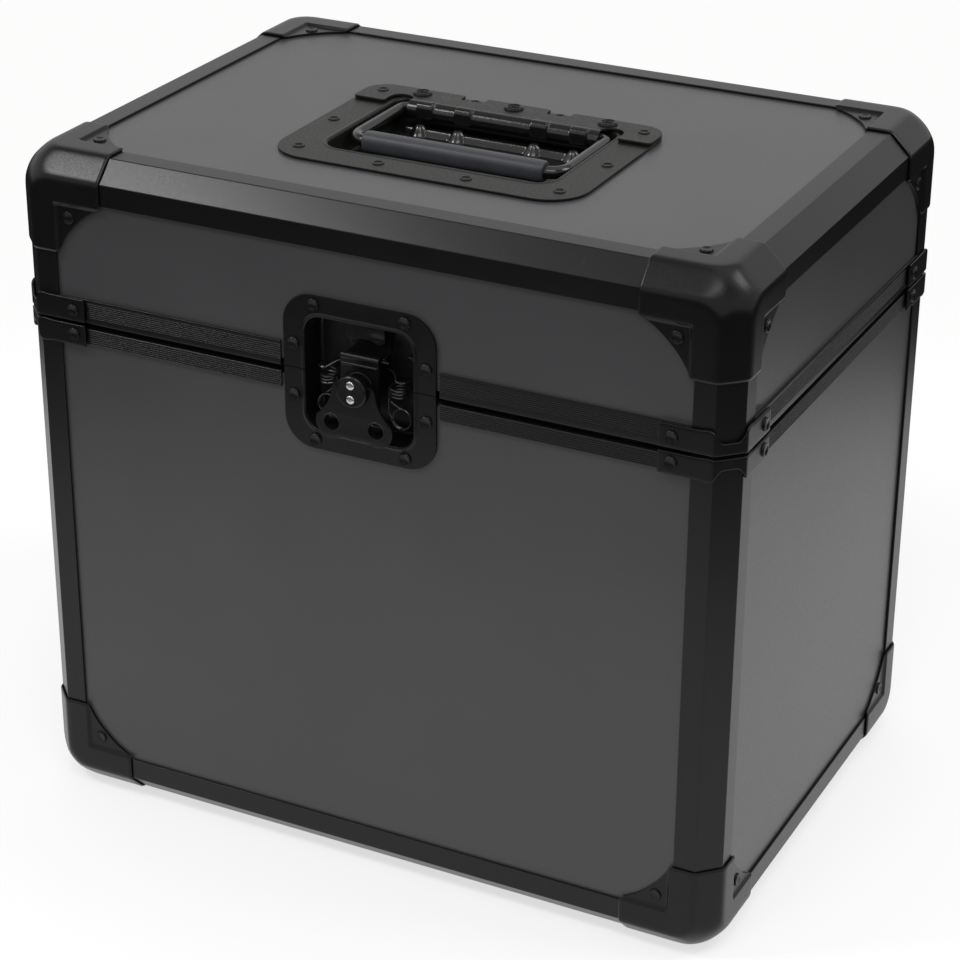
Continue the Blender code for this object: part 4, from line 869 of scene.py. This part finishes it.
def make_hinges():
    """Each leaf: a section that steps over the valance, carried along, with its knuckles, three rivets, and on
    the base's leaf the pin with its peened ends."""
    half_pin = [(1.8, 0), (2.7, 0.1), (2.5, 0.6), (1.6, 0.9)]
    pin = [(radius, -hinge_half - past) for radius, past in half_pin[::-1]]
    pin += [(radius, hinge_half + past) for radius, past in half_pin]
    for x in SIDES:
        for body, away, step, owned in (("base", -1, 13.05, (0, 2, 4)), ("lid", 1, 14.55, (1, 3))):
            section = rounded_corners([(0.3, 4.5), (1.8, 4.5), (1.8, step + 1.5), (0.3, step + 1.5),
                                       (0.3, leaf_reach), (-1.2, leaf_reach), (-1.2, step), (0.3, step)],
                                      (0.3, 0.5, 0.9, 0.4, 0.5, 0.3, 0.4, 0.6), 4)
            shapes = [bar(section, -hinge_half, hinge_half)]
            for index in owned:
                start = -hinge_half + index * knuckle_pitch + 0.15
                end = start + knuckle_length
                tab = rounded_corners([(0.3, 0), (1.8, 0), (1.8, 4.8), (0.3, 4.8)], 0.2, 2)
                shapes.append(bar(tab, start, end))
                knuckle = [(knuckle_radius - 0.5, start), (knuckle_radius, start + 0.4),
                           (knuckle_radius, end - 0.4), (knuckle_radius - 0.5, end)]
                shapes.append(placed(turned(knuckle, 32), (hinge_out, 0, 0)))
            if body == "base":
                shapes.append(placed(turned(pin), (hinge_out, 0, 0)))
            for along, share in ((-0.34, 0.62), (0, 0.28), (0.34, 0.62)):
                spot = (0.3, step + 1.5 + (32.5 - step) * share, along * 2 * hinge_half)
                shapes.append(lying(rivet(), spot))
            node = f"{NAMES_X[x]}_hinge_{body}_leaf"
            shape = placed(together(shapes), (x * hinge_x, back_plane, seam), Y, (0, 0, away), X)
            add_piece(node + "_pressing", shape, coated, body, [node])


make_edges()
make_valances()
make_corners()
make_latch()
make_handle_dish()
make_handle_ridge()
make_handle_cover()
make_bail()
make_hinges()

for name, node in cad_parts.items():
    if name.endswith("_panel"):
        node.data.materials.clear()
        node.data.materials.append(laminate)


# Floor, light and camera, in metres, with the paper's fibres in millimetres

floor_half = 9.0
fibre_width = 4
fibre_height = 0.02
# The floor's painted pool of light: where it fades out, the paper's colours and the glow near the case and
# beyond
pool_inner = 0.56
pool_outer = 0.8
painted_pool_paper_near, painted_pool_paper_far = "#a4a4a4", "#2e2a28"
painted_pool_glow_near, glow_far = "#d2d2d2", "#fafafa"
black, white = "#000000", "#ffffff"


def make_floor():
    """A wide floor under the case's feet, with a painted pool of light round them."""
    mesh = bpy.data.meshes.new("studio_floor")
    corners = [(x * floor_half, y * floor_half, 0) for x, y in ((-1, -1), (1, -1), (1, 1), (-1, 1))]
    mesh.from_pydata(corners, [], [(0, 1, 2, 3)])
    floor = add_object("studio_floor", mesh)
    # Matt paper with a painted pool of light: its colour is pale round the case and dark beyond, and a painted
    # glow seen in gloss is bright round the case and black beyond. The camera sees it white throughout, less
    # the case's shadow
    paper = bpy.data.materials.new("studio_paper_painted_pool")
    paper.use_nodes = True
    tree = paper.node_tree
    place = add_node(tree, "TexCoord").outputs["Object"]
    away = add_node(tree, "VectorMath", {"operation": "LENGTH"}, {0: place}).outputs["Value"]
    pool = add_node(tree, "MapRange", {"interpolation_type": "SMOOTHSTEP"},
                    {"Value": away, "From Min": pool_inner, "From Max": pool_outer}).outputs[0]
    fibres = add_node(tree, "TexNoise",
                      inputs={"Vector": place, "Scale": 1 / (fibre_width * MM), "Detail": 3})
    height = add_node(tree, "Bump",
                      inputs={"Height": fibres.outputs["Fac"], "Distance": fibre_height * MM})
    rays = add_node(tree, "LightPath").outputs
    glossy = add_node(tree, "Math", {"operation": "ADD", "use_clamp": True},
                      {0: rays["Is Glossy Ray"], 1: rays["Is Transmission Ray"]}).outputs[0]
    # The paper's colour holds a painted pool of light: pale round the case, dark beyond
    matt = add_node(tree, "Mix", colour_mix, {0: pool, 6: linear(painted_pool_paper_near), 7: linear(painted_pool_paper_far)})
    to_camera = add_node(tree, "Mix", colour_mix, {0: pool, 6: linear(painted_pool_glow_near), 7: linear(glow_far)})
    # A painted glow that only gloss sees, bright round the case and black beyond
    painted_glow_in_gloss = add_node(tree, "Mix", colour_mix, {0: pool, 6: linear(painted_pool_glow_near), 7: linear(black)})
    seen = add_node(tree, "Mix", colour_mix, {0: glossy, 6: linear(black), 7: painted_glow_in_gloss.outputs[2]})
    glow = add_node(tree, "Mix", colour_mix,
                    {0: rays["Is Camera Ray"], 6: seen.outputs[2], 7: to_camera.outputs[2]})
    shader = tree.nodes["Principled BSDF"]
    shader.inputs["Roughness"].default_value = 0.9
    shader.inputs["Specular IOR Level"].default_value = 0.0
    shader.inputs["Emission Strength"].default_value = 1.0
    tree.links.new(matt.outputs[2], shader.inputs["Base Color"])
    tree.links.new(glow.outputs[2], shader.inputs["Emission Color"])
    tree.links.new(height.outputs[0], shader.inputs["Normal"])
    mesh.materials.append(paper)


def add_light(name, place, target, size, power):
    """A soft box that lights the case and isn't seen itself."""
    lamp = bpy.data.lights.new(name, "AREA")
    lamp.shape = "RECTANGLE"
    lamp.size, lamp.size_y = size
    lamp.energy = power
    holder = add_object(name, lamp)
    holder.location = place
    holder.rotation_euler = (Vector(target) - Vector(place)).to_track_quat("-Z", "Y").to_euler()
    holder.visible_camera = False


def add_sky_light(direction, strength, width):
    """An even soft light from one direction, so many degrees wide."""
    lamp = bpy.data.lights.new("overhead_bank", "SUN")
    lamp.energy = strength
    lamp.angle = math.radians(width)
    add_object(lamp.name, lamp).rotation_euler = Vector(direction).to_track_quat("Z", "Y").to_euler()


def make_world():
    """Soft light from all round, white near the horizon and dimmer overhead. The camera sees white."""
    world = bpy.data.worlds.new("studio")
    world.use_nodes = True
    bpy.context.scene.world = world
    tree = world.node_tree
    direction = add_node(tree, "TexCoord").outputs["Generated"]
    height = add_node(tree, "SeparateXYZ", inputs={0: direction})
    share = add_node(tree, "MapRange", {"interpolation_type": "SMOOTHSTEP"},
                     {"Value": height.outputs[2], "From Min": 0.45, "From Max": 0.75, "To Min": 0.85,
                      "To Max": 0.3})
    seen = add_node(tree, "Mix", {"data_type": "FLOAT"},
                    {0: add_node(tree, "LightPath").outputs["Is Camera Ray"], 2: share.outputs[0],
                     3: 1.0})
    tree.links.new(seen.outputs[0], tree.nodes["Background"].inputs["Strength"])
    tree.nodes["Background"].inputs["Color"].default_value = linear(white)


def make_camera():
    """The camera that was fitted to the photograph's edges, by its axes and its place."""
    right, up = (0.89324, 0.44954, 0.00538), (-0.20144, 0.38950, 0.89873)
    backward = (0.40192, -0.80387, 0.43847)
    lens = bpy.data.cameras.new("camera")
    lens.lens = 103.37
    camera = add_object("camera", lens)
    axes = Matrix((right, up, backward)).transposed().to_4x4()
    axes.translation = (0.6042, -1.21455, 0.8298)
    camera.matrix_world = axes
    bpy.context.scene.camera = camera


make_floor()
make_world()
add_light("front_left_box", (-0.83, -0.665, 1.33), (-0.1, -0.05, 0.36), (0.36, 0.32), 7.0)
add_light("top_front_box", (0.27, -0.78, 1.48), (0.1, 0, 0.36), (0.8, 0.5), 5.5)
add_light("right_back_box", (0.96, 0.3, 1.29), (0.15, 0, 0.36), (0.6, 0.5), 6.0)
add_sky_light((0.1, 0.25, 1), 0.45, 50)
make_camera()
bpy.context.scene.view_settings.view_transform = "Standard"
